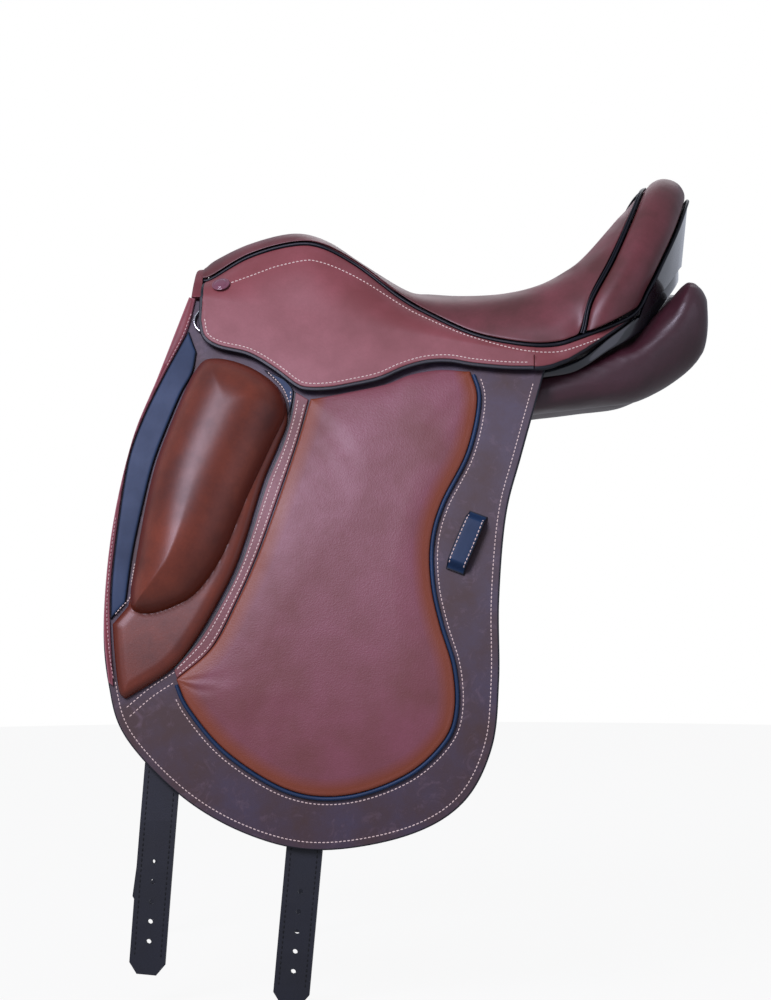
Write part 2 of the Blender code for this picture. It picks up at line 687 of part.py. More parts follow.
def tree_table():
    """Edge x, half width, z, crown x, z of the tree at every station."""
    rows = []
    for x, crown_z in TREE_CROWNS:
        edge_x = x - RIB_SWEEP * HANG_HALF_WIDTH
        place = on_side(edge_x, fold_z(edge_x) + 0.003, TREE_FACE)
        rows.append((place.x, -place.y, place.z, x, crown_z))
    rows += TREE_REAR
    return smooth(rows, (len(rows) - 1) * STATIONS_PER_RIB + 1)


def seat_grid():
    """Outer face of the seat cover: ribs that start beside the piping."""
    table = seat_table()
    edges = table[:, :3] * (1.0, -1.0, 1.0)
    rise = np.column_stack([table[:, 3] - table[:, 0], 0.0 * table[:, 0], table[:, 4] - table[:, 2]])
    rise[-1] = (0.0, 0.0, 1.0)
    tangent = unit(np.gradient(edges, axis=0))
    moved = edges + square_to(unit(rise), tangent) * SEAM_ROOM
    crown = table[-2:, 3:5]
    apex = crown[1] + unit(crown[0] - crown[1]) * SEAM_ROOM * 1.2
    moved[-1] = (apex[0], 0.0, apex[1])
    table[-1, 3:5] = apex
    ribs = []
    for (x, y, z), row in zip(moved, table):
        ribs.append(arch((x, z), (row[3], row[4]), max(-y, 0.0), row[5]))
    return np.array(ribs)


def tree_grid():
    """Upper face of the tree."""
    ribs = []
    for edge_x, across, edge_z, crown_x, crown_z in tree_table():
        ribs.append(arch((edge_x, edge_z), (crown_x, crown_z), max(across, 0.0), 0.0,
                         power=2.0, root=1.2))
    return np.array(ribs)


def foam_floor(tree, seat):
    """Lower ribs of the foam, ending inside the seat's side seams."""
    floor = []
    for rib, top in zip(tree, seat):
        limit = max(min(0.93 * rib[-1, 1], top[-1, 1] - 0.0045), 0.0005)
        y = np.clip(rib[:, 1], -limit, limit)
        x = np.interp(y, rib[:, 1], rib[:, 0])
        z = np.interp(y, rib[:, 1], rib[:, 2])
        floor.append(np.column_stack([x, y, z]))
    return np.array(floor)


def add_seat(leather, foam, resin):
    """Cover, foam and tree of the seat."""
    seat = seat_grid()
    cover = loft(seat, away_from=(0.0, 0.0, -0.5))
    solidify(add_part("seat_cover", cover, leather), COVER_LEATHER)
    tree = tree_grid()
    filling = seat - grid_normals(seat) * (COVER_LEATHER + 3.0 * GAP)
    filling[:, 0, 1] += COVER_LEATHER
    filling[:, -1, 1] -= COVER_LEATHER
    floor = foam_floor(tree + grid_normals(tree) * FOAM_CLEARANCE, filling)
    rings = [np.vstack([top, low[::-1]]) for top, low in zip(filling[:-2], floor[:-2])]
    add_part("seat_foam", loft(rings, closed=True, caps=True), foam)
    shell = loft(tree, away_from=(0.0, 0.0, -0.5))
    solidify(add_part("saddle_tree", shell, resin), TREE_WALL)


def seam_points():
    """Seat seam from the left front, along the seat, up the back of the cantle and down."""
    side = [row[:3] for row in SEAT_RIBS] + [CANTLE_RIM[0][:3]]
    rows = mirrored_rows(side + [row[3:6] for row in CANTLE_RIM], [1])
    return smooth(rows, (len(rows) - 1) * STATIONS_PER_RIB + 1)


def front_seam():
    """Seam along the front of the cantle rim, from left to right."""
    left = seat_table()[len(SEAT_RIBS) * STATIONS_PER_RIB:, :3] * (1.0, -1.0, 1.0)
    return np.vstack([left, left[-2::-1] * (1.0, -1.0, 1.0)])


def trimmed(rows, share):
    """Rows whose end ones are moved inwards by a share of a step."""
    rows = np.array(rows)
    rows[0] += (rows[1] - rows[0]) * share
    rows[-1] += (rows[-2] - rows[-1]) * share
    return rows


def add_seams(surface):
    """Piping round the seat and along the front of the cantle roll."""
    add_tube("seat_welt", seam_points(), WELT_RADIUS, surface)
    add_tube("gusset_welt", trimmed(front_seam(), 0.32), GUSSET_WELT_RADIUS, surface)


def roll_sections():
    """Closed sections of the cantle roll: a bowed outer face over a flat inner one."""
    first = (len(SEAT_RIBS) + 1) * STATIONS_PER_RIB
    front = front_seam()
    back = seam_points()[first:-first]
    swell = smooth(mirrored_rows([row[6:] for row in CANTLE_RIM], []), len(front))
    front, back, swell = trimmed(front, 0.4), trimmed(back, 0.4), trimmed(swell, 0.4)
    chord = unit(back - front)
    front = front + SEAM_ROOM * square_to(chord, unit(np.gradient(front, axis=0)))
    back = back - SEAM_ROOM * square_to(chord, unit(np.gradient(back, axis=0)))
    out = unit(np.cross(back - front, np.gradient(front + back, axis=0)))
    out *= np.sign(out[len(out) // 2, 2])
    sections = []
    for share in np.linspace(0.0, 1.0, 9):
        bow = swell * (1.0 - abs(2.0 * share - 1.0) ** 2.3) ** 0.5
        sections.append(front + (back - front) * share + out * bow)
    for share in (0.96, 0.04):
        sections.append(front + (back - front) * share - out * 0.0008)
    return np.stack(sections, axis=1)


def add_cantle(roll_leather, patent):
    """Padded roll over the cantle, and the patent back below it."""
    add_part("cantle_roll", loft(roll_sections(), closed=True, caps=True), roll_leather)
    first = (len(SEAT_RIBS) + 1) * STATIONS_PER_RIB
    upper = seam_points()[first:-first]
    lower = smooth(mirrored_rows(CANTLE_BACK_HEM, [1]), len(upper))
    down = square_to(lower - upper, unit(np.gradient(upper, axis=0)))
    upper = upper + down * SEAM_ROOM
    sheets = [upper + (lower - upper) * share for share in np.linspace(0.0, 1.0, 4)]
    back = loft(np.stack(sheets, axis=1)[1:-1], away_from=(0.0, 0.0, 0.1))
    solidify(add_part("cantle_back", back, patent), PATENT_LEATHER)


def add_rear_facing(patent):
    """Patent strip between the seat and the panels, round the back."""
    rows = []
    for x, y, z, tall in smooth(mirrored_rows(REAR_FACING, [1]), 41):
        inward = Vector((-max(x - 0.05, 0.0) * 8.0, -y, 0.0)).normalized() * PATENT_LEATHER * 2.0
        top, low = Vector((x, y, z)), Vector((x, y, z - tall))
        rows.append([top, low, low + inward, top + inward])
    add_part("rear_facing", loft(rows, closed=True, caps=True), patent)


def add_pommel_facing(leather):
    """Rolled leather edge across the front of the pommel."""
    outer = smooth(mirrored_rows([row[:2] for row in POMMEL_EDGES], [0]), 21)
    inner = smooth(mirrored_rows([row[2:] for row in POMMEL_EDGES], [0]), 21)
    rows = []
    for high, low in zip(outer, inner):
        middle = 1.0 - abs(high[0]) / POMMEL_EDGES[0][0]
        rear = POMMEL_REAR_X - 0.0020 * middle
        front = POMMEL_FRONT_X + 0.0010 * middle
        section = ((rear, 0.0), (rear - 0.0070, 0.06), (front, 0.42), (front + 0.0020, 0.90),
                   (rear, 1.0))
        places = [(x, high + (low - high) * share) for x, share in section]
        rows.append([(x, place[0], place[1]) for x, place in places])
    add_part("pommel_facing", loft(rows, closed=True, caps=True), leather)


def panel_rows():
    """Sections of the left panel: flattened ovals that lean with the horse's side."""
    rows = []
    angles = np.linspace(0.0, 2.0 * math.pi, 19)[:-1]
    for x, inset, z, breadth, thickness, lean in spline(PANEL, PANEL_STATIONS):
        u = breadth * np.sign(np.cos(angles)) * np.abs(np.cos(angles)) ** 0.8
        v = thickness * np.sign(np.sin(angles)) * np.abs(np.sin(angles)) ** 0.8
        turn = math.radians(lean)
        outwards = HANG_HALF_WIDTH - inset + u * math.cos(turn) + v * math.sin(turn)
        up = z - u * math.sin(turn) + v * math.cos(turn)
        rows.append(np.column_stack([np.full(len(u), x), -outwards, up]))
    return rows


def band_section(x, hem=None):
    """Outer points of the skirt band at a station: beside the seam, half way and at its hem."""
    seam = seam_points()[:(len(SEAT_RIBS) + 1) * STATIONS_PER_RIB + 1]
    place, ahead = [Vector([np.interp(at, seam[:, 0], seam[:, axis]) for axis in range(3)])
                    for at in (x, x + 0.001)]
    low = on_side(x, fold_z(x) + GAP, SKIRT_FACE)
    if hem is not None:
        low = Vector((hem[0], -hem[1], hem[2]))
    tangent = (ahead - place).normalized()
    down = low - place
    down = (down - down.dot(tangent) * tangent).normalized()
    high = place + down * (WELT_RADIUS + 3.0 * GAP)
    out = tangent.cross(down).normalized()
    if out.y > 0.0:
        out.negate()
    return high, high.lerp(low, 0.5) + out * 0.0015, low, out


def add_skirt_band(name, leather, right):
    """Sewn upper part of the skirt, from the seat seam to the fold line, and its rear end."""
    seam = seam_points()[:(len(SEAT_RIBS) + 1) * STATIONS_PER_RIB]
    stations = [(x, None) for x in seam[:, 0] if x < SKIRT_REAR_X - 0.002]
    stations.append((SKIRT_REAR_X, None))
    hem_x = [hem[0] for hem in SKIRT_REAR_HEM]
    for x in [SKIRT_REAR_X + GAP] + [x for x in seam[:, 0] if x > SKIRT_REAR_X + 0.002]:
        place = min(x, hem_x[-1])
        stations.append((x, [np.interp(place, hem_x, [hem[axis] for hem in SKIRT_REAR_HEM])
                             for axis in range(3)]))
    rows = []
    for x, hem in stations:
        high, middle, low, out = band_section(x, hem)
        low_inner = low - out * SKIRT_LEATHER
        if hem is None:
            low_inner = on_side(x, fold_z(x) + GAP, SKIRT_STANDOFF)
        rows.append([high, middle, low, low_inner, middle - out * SKIRT_LEATHER,
                     high - out * SKIRT_LEATHER])
    add_part(name, loft(rows, closed=True, caps=True), leather, right=right)


def skirt_outline():
    """Moving part of the skirt, below the fold line."""
    front = (SKIRT_FRONT_X, fold_z(SKIRT_FRONT_X) - GAP, 1)
    rear = [(SKIRT_REAR_X, SKIRT_REAR_Z, 1), (SKIRT_REAR_X, fold_z(SKIRT_REAR_X) - GAP, 1)]
    return [front] + SKIRT_HEM + rear


def flap_outline():
    """Flap below the fold line, with a notch where the stirrup bar comes through."""
    step_x = SKIRT_REAR_X - 2.0 * GAP
    rear = [(FLAP_REAR_X, fold_z(FLAP_REAR_X) - FLAP_STEP, 1),
            (step_x, fold_z(step_x) - FLAP_STEP, 1), (step_x, fold_z(step_x) - GAP, 1)]
    notch = [(NOTCH_REAR_X, fold_z(NOTCH_REAR_X) - GAP, 1),
             (*below_fold(NOTCH_REAR_X, NOTCH_DEPTH), 1),
             (*below_fold(NOTCH_FRONT_X, NOTCH_DEPTH), 1),
             (NOTCH_FRONT_X, fold_z(NOTCH_FRONT_X) - GAP, 1)]
    front = (FLAP_FRONT_X, fold_z(FLAP_FRONT_X) - GAP, 1)
    return [front] + FLAP_EDGE + rear + notch


def flap_head_outline():
    """Strip of the flap that stays nailed to the tree, above the fold line."""
    rear_x = FLAP_REAR_X - 0.004
    front_x = POMMEL_REAR_X + 2.0 * GAP
    return [(front_x, fold_z(front_x) + GAP, 1),
            (rear_x, fold_z(rear_x) + GAP, 1),
            (rear_x, fold_z(rear_x) + FLAP_HEAD_REAR_HEIGHT, 1),
            (-0.0500, fold_z(-0.0500) + FLAP_HEAD_HEIGHT, 1),
            (front_x, fold_z(front_x) + FLAP_HEAD_HEIGHT, 1)]


def block_height(places):
    """Outer height of the knee block: a low base with a tall bolster on it."""
    base = edge_distance(places, closed_outline(BLOCK_EDGE, 120))
    bolster = edge_distance(places, closed_outline(BOLSTER_EDGE, 120))
    low = 0.0015 + (BLOCK_BASE_HEIGHT - 0.0015) * dome(np.maximum(base, 0.0), BLOCK_BASE_ROLL)
    tall = BLOCK_HEIGHT * dome(np.maximum(bolster, 0.0), BLOCK_ROLL)
    return np.maximum(low, tall)


def pad_height(places):
    """Outer height of the grip pad."""
    distance = edge_distance(places, closed_outline(GRIP_PAD_EDGE_POINTS, 120))
    return GRIP_PAD_EDGE + GRIP_PAD_CROWN * dome(np.maximum(distance, 0.0), GRIP_PAD_ROLL)


def billet_splines(head_x, lean):
    """Outline of a billet with its punched holes and its rivet hole; lean is forwards."""
    half = BILLET_WIDTH / 2.0
    top = -BILLET_HEAD_MARGIN
    shape = [(-half, top, 1), (half, top, 1), (half, BILLET_LENGTH - 0.010, 1),
             (half * 0.55, BILLET_LENGTH, 1), (-half * 0.55, BILLET_LENGTH, 1),
             (-half, BILLET_LENGTH - 0.010, 1)]
    holes = [circle(0.0, 0.0, BILLET_PIN_RADIUS + 2.0 * GAP)]
    for index in range(BILLET_HOLES):
        down = BILLET_LENGTH - 0.010 - BILLET_LAST_HOLE - index * BILLET_HOLE_PITCH
        holes.append(circle(0.0, down, BILLET_HOLE_RADIUS, 8))
    pivot = below_fold(head_x, BILLET_PIVOT_DROP)
    cosine, sine = math.cos(lean), math.sin(lean)
    placed = []
    for outline in [shape] + holes:
        placed.append([(pivot[0] + u * cosine - v * sine, pivot[1] - u * sine - v * cosine, 1)
                       for u, v, _ in outline])
    return placed


def add_billets(side, right, surface, web_surface):
    """Front and rear girth billets, each on a rivet of its own web."""
    for place, (head_x, degrees) in BILLET_HEADS.items():
        lean = math.radians(degrees + right * FAR_SIDE_LEAN[place])
        x, z = below_fold(head_x, BILLET_PIVOT_DROP)
        frame = side_frame(x, z, 0.0)
        pivot = on_side(x, z, (BILLET_FACE + BILLET_BACK) / 2.0)
        if right:
            pivot.y = -pivot.y
        hinge = add_hinge(f"{side}_{place}_billet_hinge", pivot)
        strap = bent_sheet(billet_splines(head_x, lean), BILLET_BACK, BILLET_FACE,
                           spacing_z=0.045)
        add_part(f"{side}_{place}_billet", strap, surface, hinge, right)
        half = WEB_WIDTH / 2.0
        low_x, high_x, foot = max(x - half, POMMEL_REAR_X + GAP), x + half, z - 0.013
        web_outline = [(low_x, fold_z(low_x) + 0.006, 1), (high_x, fold_z(high_x) + 0.006, 1),
                       (high_x, foot, 1), (low_x, foot, 1)]
        web = add_part(f"{side}_{place}_girth_web",
                       bent_sheet([web_outline], WEB_BACK, WEB_FACE, spacing_z=0.015),
                       web_surface, right=right)
        pin = cylinder(frame, BILLET_PIN_RADIUS, BILLET_BACK - 0.0010, WEB_BACK + 0.0010)
        combine(web, add_cutter(f"{side}_{place}_rivet_pin", pin, right), 'UNION')
        burr = cylinder(frame, BILLET_PIN_RADIUS * 2.0, BILLET_BACK - 0.0013, BILLET_BACK - GAP)
        combine(web, add_cutter(f"{side}_{place}_rivet_burr", burr, right), 'UNION')


def add_stirrup_bar(side, right, steel):
    """Stirrup bar riveted to the head plate, open rearwards, and the catch that closes it."""
    x, z = below_fold(BAR_X, BAR_TOP + BAR_HEIGHT / 2.0)
    frame = side_frame(x, z, 0.0) @ Matrix.Rotation(math.radians(90.0), 4, 'X')
    half = BAR_LENGTH / 2.0
    inner = PLATE_FACE + GAP
    face = inner + BAR_BASE
    outer_low = BAR_PROUD - BAR_THICKNESS
    pin_x = half + 0.002
    outline = [(-half + 0.003, inner, 1), (pin_x + 0.005, inner, 1), (pin_x + 0.005, face, 1),
               (-half + 0.007, face, 1), (-half + 0.007, outer_low, 1),
               (half - 0.002, outer_low, 1), (half, outer_low + 0.0015, 1),
               (half - 0.001, BAR_PROUD, 1), (-half + 0.003, BAR_PROUD, 1),
               (-half, BAR_PROUD - 0.003, 1), (-half, inner + 0.003, 1)]
    bar = add_part(f"{side}_stirrup_bar", framed_plate([outline], BAR_HEIGHT, frame), steel,
                   right=right)
    pin_frame = side_frame(x, z, 0.0) @ Matrix.Translation((pin_x, 0.0, 0.0))
    top = face + CATCH_THICKNESS + 2.0 * GAP
    pin = cylinder(pin_frame, CATCH_PIN_RADIUS, face - 0.001, top)
    combine(bar, add_cutter(f"{side}_catch_pin", pin, right), 'UNION')

    pivot = pin_frame @ Vector((0.0, 0.0, face + CATCH_THICKNESS / 2.0))
    if right:
        pivot.y = -pivot.y
    hinge = add_hinge(f"{side}_bar_catch_hinge", pivot)
    wide = 0.0048
    lever = [(-wide, wide * 0.4, 1), (-wide * 0.4, wide, 1), (CATCH_LENGTH, wide, 1),
             (CATCH_LENGTH, -wide * 0.4, 1), (wide, -wide, 1), (-wide * 0.4, -wide, 1),
             (-wide, -wide * 0.4, 1)]
    hole = circle(0.0, 0.0, CATCH_PIN_RADIUS + GAP)
    middle = pin_frame @ Matrix.Translation((0.0, 0.0, face + GAP + CATCH_THICKNESS / 2.0))
    catch = framed_plate([lever, hole], CATCH_THICKNESS, middle)
    add_part(f"{side}_bar_catch", catch, steel, hinge, right)


def add_dee(side, right, steel, leather, flap_hinge):
    """Dee ring and the chape that holds its straight side."""
    x, z = DEE_HINGE
    room = DEE_WIRE / 2.0 + GAP
    frame = side_frame(x, z, room + DEE_CHAPE_WALL + GAP)
    pivot = frame.translation.copy()
    if right:
        pivot.y = -pivot.y
    hinge = add_hinge(f"{side}_dee_hinge", pivot)
    half = DEE_HEIGHT / 2.0
    shape = [(0.0, -half + 0.003), (0.0, half - 0.003), (-0.004, half)]
    shape += [(-0.008 - (DEE_LENGTH - 0.008) * math.sin(a), half * math.cos(a))
              for a in np.linspace(0.15, math.pi - 0.15, 9)]
    shape += [(-0.004, -half)]
    wire = [frame @ Vector((u, v, 0.0)) for u, v in shape]
    add_tube(f"{side}_dee_ring", wire, DEE_WIRE / 2.0, steel, hinge, right, cyclic=True)

    outer = room + DEE_CHAPE_WALL
    loop = [(outer * math.cos(a), outer * math.sin(a), 1)
            for a in np.linspace(-0.5 * math.pi, 0.5 * math.pi, 9)]
    tail = [(-outer, 0.0, 1), (-outer * 1.8, 0.0020 - outer, 1),
            (-DEE_CHAPE_LENGTH, 0.0015 - outer, 1), (-DEE_CHAPE_LENGTH, -outer, 1)]
    edge_on = frame @ Matrix.Rotation(math.radians(90.0), 4, 'X')
    chape = framed_plate([loop + tail, circle(0.0, 0.0, room)], DEE_CHAPE_WIDTH, edge_on)
    add_part(f"{side}_dee_chape", chape, leather, flap_hinge, right)


def add_keeper(side, right, leather, flap_hinge):
    """Raised loop on the flap border."""
    x, z = KEEPER_CENTRE
    flat_turn = -math.radians(90.0) - KEEPER_TILT - math.atan(fold_z(1.0) - fold_z(0.0))
    frame = side_frame(x, z, 0.0, flat_turn) @ Matrix.Rotation(math.radians(90.0), 4, 'X')
    half = KEEPER_LENGTH / 2.0
    wall = KEEPER_LEATHER
    top = KEEPER_RISE + wall
    foot = 2.0 * GAP
    outline = [(-half, foot), (-half + 0.007, foot), (-half + 0.007, KEEPER_RISE * 0.75),
               (-half + 0.011, KEEPER_RISE), (half - 0.011, KEEPER_RISE),
               (half - 0.007, KEEPER_RISE * 0.75), (half - 0.007, foot), (half, foot),
               (half - 0.003, top * 0.75), (half - 0.009, top), (-half + 0.009, top),
               (-half + 0.003, top * 0.75)]
    corners = [(u, v, 1) for u, v in outline]
    add_part(f"{side}_keeper_loop", framed_plate([corners], KEEPER_WIDTH, frame), leather,
             flap_hinge, right)


def add_nail(side, right, leather):
    """Covered nail head on the skirt band."""
    _, middle, low, _ = band_section(NAIL_X)
    centre = middle.lerp(low, 2.0 * NAIL_PLACE - 1.0)
    down = (low - middle).normalized()
    along = Vector((1.0, -HANG_TOE, 0.2)).normalized()
    out = along.cross(down).normalized()
    if out.y > 0.0:
        out.negate()
    frame = Matrix((along, out.cross(along), out)).transposed().to_4x4()
    head = bmesh.new()
    bmesh.ops.create_uvsphere(head, u_segments=12, v_segments=8, radius=1.0)
    size = Matrix.Diagonal((NAIL_RADIUS, NAIL_RADIUS, NAIL_HEIGHT / 2.0, 1.0))
    place = Matrix.Translation(centre + out * (NAIL_HEIGHT / 2.0 + GAP / 2.0))
    bmesh.ops.transform(head, matrix=place @ frame @ size, verts=head.verts)
    add_part(f"{side}_saddle_nail", head, leather, right=right)


def binding_outline():
    """Rolled edge down the front of the flap."""
    outer = [(point[0] + BINDING_INSET, point[1]) for point in FLAP_EDGE[:5]]
    top = [(BINDING_TOP_X, fold_z(BINDING_TOP_X) - 2.0 * GAP, 1),
           (FLAP_FRONT_X + BINDING_INSET, fold_z(FLAP_FRONT_X) - 2.0 * GAP, 1)]
    return top + outer + BINDING_INNER_EDGE


def piping_path():
    """Cord along the rear and lower edge of the grip pad."""
    outline = closed_outline(GRIP_PAD_EDGE_POINTS, 131)
    centre = outline.mean(0)
    used = outline[27:100]
    tangent = np.gradient(used, axis=0)
    outward = np.column_stack([-tangent[:, 1], tangent[:, 0]])
    outward /= np.linalg.norm(outward, axis=1)[:, None]
    outward *= np.sign((outward * (used - centre)).sum(1))[:, None]
    placed = used + outward * (PAD_PIPING_RADIUS + 4.0 * GAP)
    return [on_side(x, z, PAD_PIPING_RADIUS + GAP) for x, z in placed[::2]]


def add_flap(side, right, paints):
    """Everything that lifts with the flap."""
    axis = on_side(FOLD_FRONT[0], FOLD_FRONT[1], HINGE_HEIGHT)
    if right:
        axis.y = -axis.y
    hinge = add_hinge(f"{side}_flap_hinge", axis)
    add_part(f"{side}_flap", bent_sheet([flap_outline()], FLAP_BACK, 0.0, spacing_z=0.030),
             paints["waxed"], hinge, right)
    pad = bent_sheet([GRIP_PAD_EDGE_POINTS], GAP, pad_height, spacing_x=0.045, spacing_z=0.045,
                     rings=(0.004, 0.008), steps=3)
    add_part(f"{side}_grip_pad", pad, paints["mauve"], hinge, right)
    block = bent_sheet([BLOCK_EDGE], GAP, block_height, spacing_x=0.020, spacing_z=0.026,
                       rings=(0.003,), steps=3)
    add_part(f"{side}_knee_block", block, paints["tan"], hinge, right)
    inlay = bent_sheet([INLAY_EDGE], GAP, INLAY_HEIGHT, spacing_z=0.030, steps=3)
    add_part(f"{side}_front_inlay", inlay, paints["navy"], hinge, right)
    binding = bent_sheet([binding_outline()], GAP, BINDING_HEIGHT, spacing_z=0.030, steps=3)
    add_part(f"{side}_front_binding", binding, paints["chestnut"], hinge, right)
    add_tube(f"{side}_pad_piping", piping_path(), PAD_PIPING_RADIUS, paints["piping"], hinge, right)
    add_keeper(side, right, paints["patent"], hinge)
    add_dee(side, right, paints["steel"], paints["chape"], hinge)
    skirt_hinge = add_hinge(f"{side}_skirt_hinge", axis)
    skirt = bent_sheet([skirt_outline()], SKIRT_STANDOFF, SKIRT_FACE, spacing_z=0.020, steps=3)
    add_part(f"{side}_skirt", skirt, paints["skirt"], skirt_hinge, right)


def add_head_plate(steel):
    """Steel arch under the front of the tree, with legs that carry the stirrup bars."""
    rows = []
    for x in (-0.2413, -0.2213, -0.2013, -0.1813):
        crown_z = np.interp(x, [row[0] for row in TREE_CROWNS], [row[1] for row in TREE_CROWNS])
        edge_z = fold_z(x) + 0.003
        edge = on_side(x, edge_z, TREE_FACE)
        rib = arch((x, edge.z), (x + 0.007, crown_z), -edge.y, 0.0, 0.96, 19, power=2.0, root=1.2)
        tangent = np.gradient(rib[:, 1:], axis=0)
        inward = np.column_stack([tangent[:, 1], -tangent[:, 0]])
        inward /= np.linalg.norm(inward, axis=1)[:, None]
        rib[:, 1:] += inward * (TREE_WALL + 0.0020)
        legs = [on_side(x, edge_z - drop, PLATE_FACE) for drop in (0.030, 0.018, 0.006)]
        left = [tuple(point) for point in legs]
        mirrored = [(point.x, -point.y, point.z) for point in legs[::-1]]
        rows.append(left + [tuple(point) for point in rib] + mirrored)
    plate = loft(rows, away_from=(-0.2, 0.0, 0.0))
    solidify(add_part("head_plate", plate, steel), HEAD_PLATE_STEEL)


def add_springs(steel):
    """Spring steel strips under the tree, one each side."""
    for side, right in (("left", False), ("right", True)):
        rows = []
        for x in np.linspace(-0.150, 0.110, 14):
            row = []
            for y in (0.046, 0.060):
                height = tree_height(x, y)
                row.append((x, -y, height - TREE_WALL - SPRING_DROP))
            rows.append(row)
        strip = loft(rows, away_from=(0.0, 0.0, -0.5))
        solidify(add_part(f"{side}_spring", strip, steel, right=right), SPRING_STEEL)


def tree_height(x, y):
    """Height of the tree's upper surface over a place (x, y), read from its ribs."""
    heights = []
    for rib in tree_grid():
        if rib[0][1] < -abs(y) - 0.001:
            heights.append((np.interp(y, rib[:, 1], rib[:, 0]), np.interp(y, rib[:, 1], rib[:, 2])))
    heights.sort()
    return float(np.interp(x, [h[0] for h in heights], [h[1] for h in heights]))


def build():
    """Make every part."""
    paints = {
        "chestnut": material("chestnut_leather", CHESTNUT, 0.42),
        "skirt": material("skirt_leather", CHESTNUT, 0.45),
        "tan": material("block_leather", TAN, 0.40),
        "mauve": material("grained_pad_leather", MAUVE_BROWN, 0.55),
        "waxed": material("waxed_flap_leather", WAXED, 0.50),
        "panel": material("panel_leather", DARK_BROWN, 0.50),
        "navy": material("inlay_leather", NAVY_BLACK, 0.35),
        "piping": material("piping_leather", NAVY_BLACK, 0.40),
        "patent": material("patent_leather", NAVY_BLACK, 0.12),
        "billet": material("billet_leather", BLACK, 0.55),
        "web": material("girth_webbing", FOAM, 0.80),
        "chape": material("chape_leather", BLACK, 0.50),
        "steel": material("polished_steel", STEEL, 0.20, 1.0),
        "spring": material("spring_steel", STEEL, 0.35, 1.0),
        "foam": material("seat_foam", FOAM, 0.90),
        "resin": material("tree_resin", TREE_RESIN, 0.60),
    }
    add_seat(paints["chestnut"], paints["foam"], paints["resin"])
    add_seams(paints["piping"])
    add_cantle(paints["chestnut"], paints["patent"])
    add_rear_facing(paints["patent"])
    add_pommel_facing(paints["chestnut"])
    add_head_plate(paints["steel"])
    add_springs(paints["spring"])
    for side, right in (("left", False), ("right", True)):
        add_part(f"{side}_panel", loft(panel_rows(), closed=True, caps=True), paints["panel"],
                 right=right)
        add_part(f"{side}_sweat_flap",
                 bent_sheet([SWEAT_EDGE], SWEAT_BACK, SWEAT_FACE, spacing_z=0.040, steps=3),
                 paints["panel"], right=right)
        head = bent_sheet([flap_head_outline()], FLAP_BACK, 0.0, spacing_z=0.015)
        add_part(f"{side}_flap_head", head, paints["waxed"], right=right)
        add_skirt_band(f"{side}_skirt_band", paints["skirt"], right)
        add_nail(side, right, paints["chestnut"])
        add_stirrup_bar(side, right, paints["steel"])
        add_billets(side, right, paints["billet"], paints["web"])
        add_flap(side, right, paints)


build()
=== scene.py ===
"""Dressage saddle: looks of every piece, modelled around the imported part, in metres.

X runs rearwards, Z up, and the near (left) side is at negative Y. Leather on the sides lies on one
hanging surface: a place on it is (x, z), and a layer is a height over the outer face of the flap.
"""
import math

import bmesh
import bpy
import numpy as np
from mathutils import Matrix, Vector


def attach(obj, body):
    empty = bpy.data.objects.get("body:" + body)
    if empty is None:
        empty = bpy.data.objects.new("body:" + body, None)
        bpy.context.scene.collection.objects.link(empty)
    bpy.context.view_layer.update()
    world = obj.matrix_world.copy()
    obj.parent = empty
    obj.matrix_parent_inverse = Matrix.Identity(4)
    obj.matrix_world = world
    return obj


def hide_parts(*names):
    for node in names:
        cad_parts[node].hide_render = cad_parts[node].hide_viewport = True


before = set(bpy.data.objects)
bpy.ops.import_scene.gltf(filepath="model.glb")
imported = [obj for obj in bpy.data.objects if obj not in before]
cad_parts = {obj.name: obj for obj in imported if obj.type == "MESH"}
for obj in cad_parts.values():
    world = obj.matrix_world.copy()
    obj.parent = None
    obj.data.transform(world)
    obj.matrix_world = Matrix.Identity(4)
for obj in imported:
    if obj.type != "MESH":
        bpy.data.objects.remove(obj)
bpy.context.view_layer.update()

TURN = 2.0 * math.pi
GAP = 0.0003                           # room between two layers
WELT_ROOM = 0.0031                     # from the line of a seam to the leather beside its cord
WELT_RADIUS = 0.0017
N = 8                                  # stations to each rib of the seat
FOLD_FRONT, FOLD_REAR = (-0.2756, 0.1050), (0.0452, 0.0450)
SKIRT_REAR_X = 0.0357

# Heights of faces over the outer face of the flap
SKIRT_FACE, SKIRT_BACK = 0.009, 0.006
STRIP_FACE = 0.0017
FLAP_BACK = -0.004
BILLET_FACE = -0.0066
SWEAT_FACE, SWEAT_BACK = -0.0128, -0.0158

# Openings in the flap: x from and to and depth for the stirrup bar, x and depth of the rear step
NOTCH = (-0.2530, -0.1495, 0.034)
STEP = (0.0351, 0.0085)

# Billets: rivet x, lean forwards in degrees, and how much further the right one leans
BILLETS = [("front", -0.2687, 4.4, 3.2), ("rear", -0.1320, 5.2, 0.9)]

# Where a grid is crowded beside a rim, and the rim distance in millimetres of leather without one
EDGE_STEPS = np.array([0.0, 0.25, 0.6, 1.1, 1.8, 2.6, 3.2, 3.8, 5.0]) * 0.001
FAR = 99.0

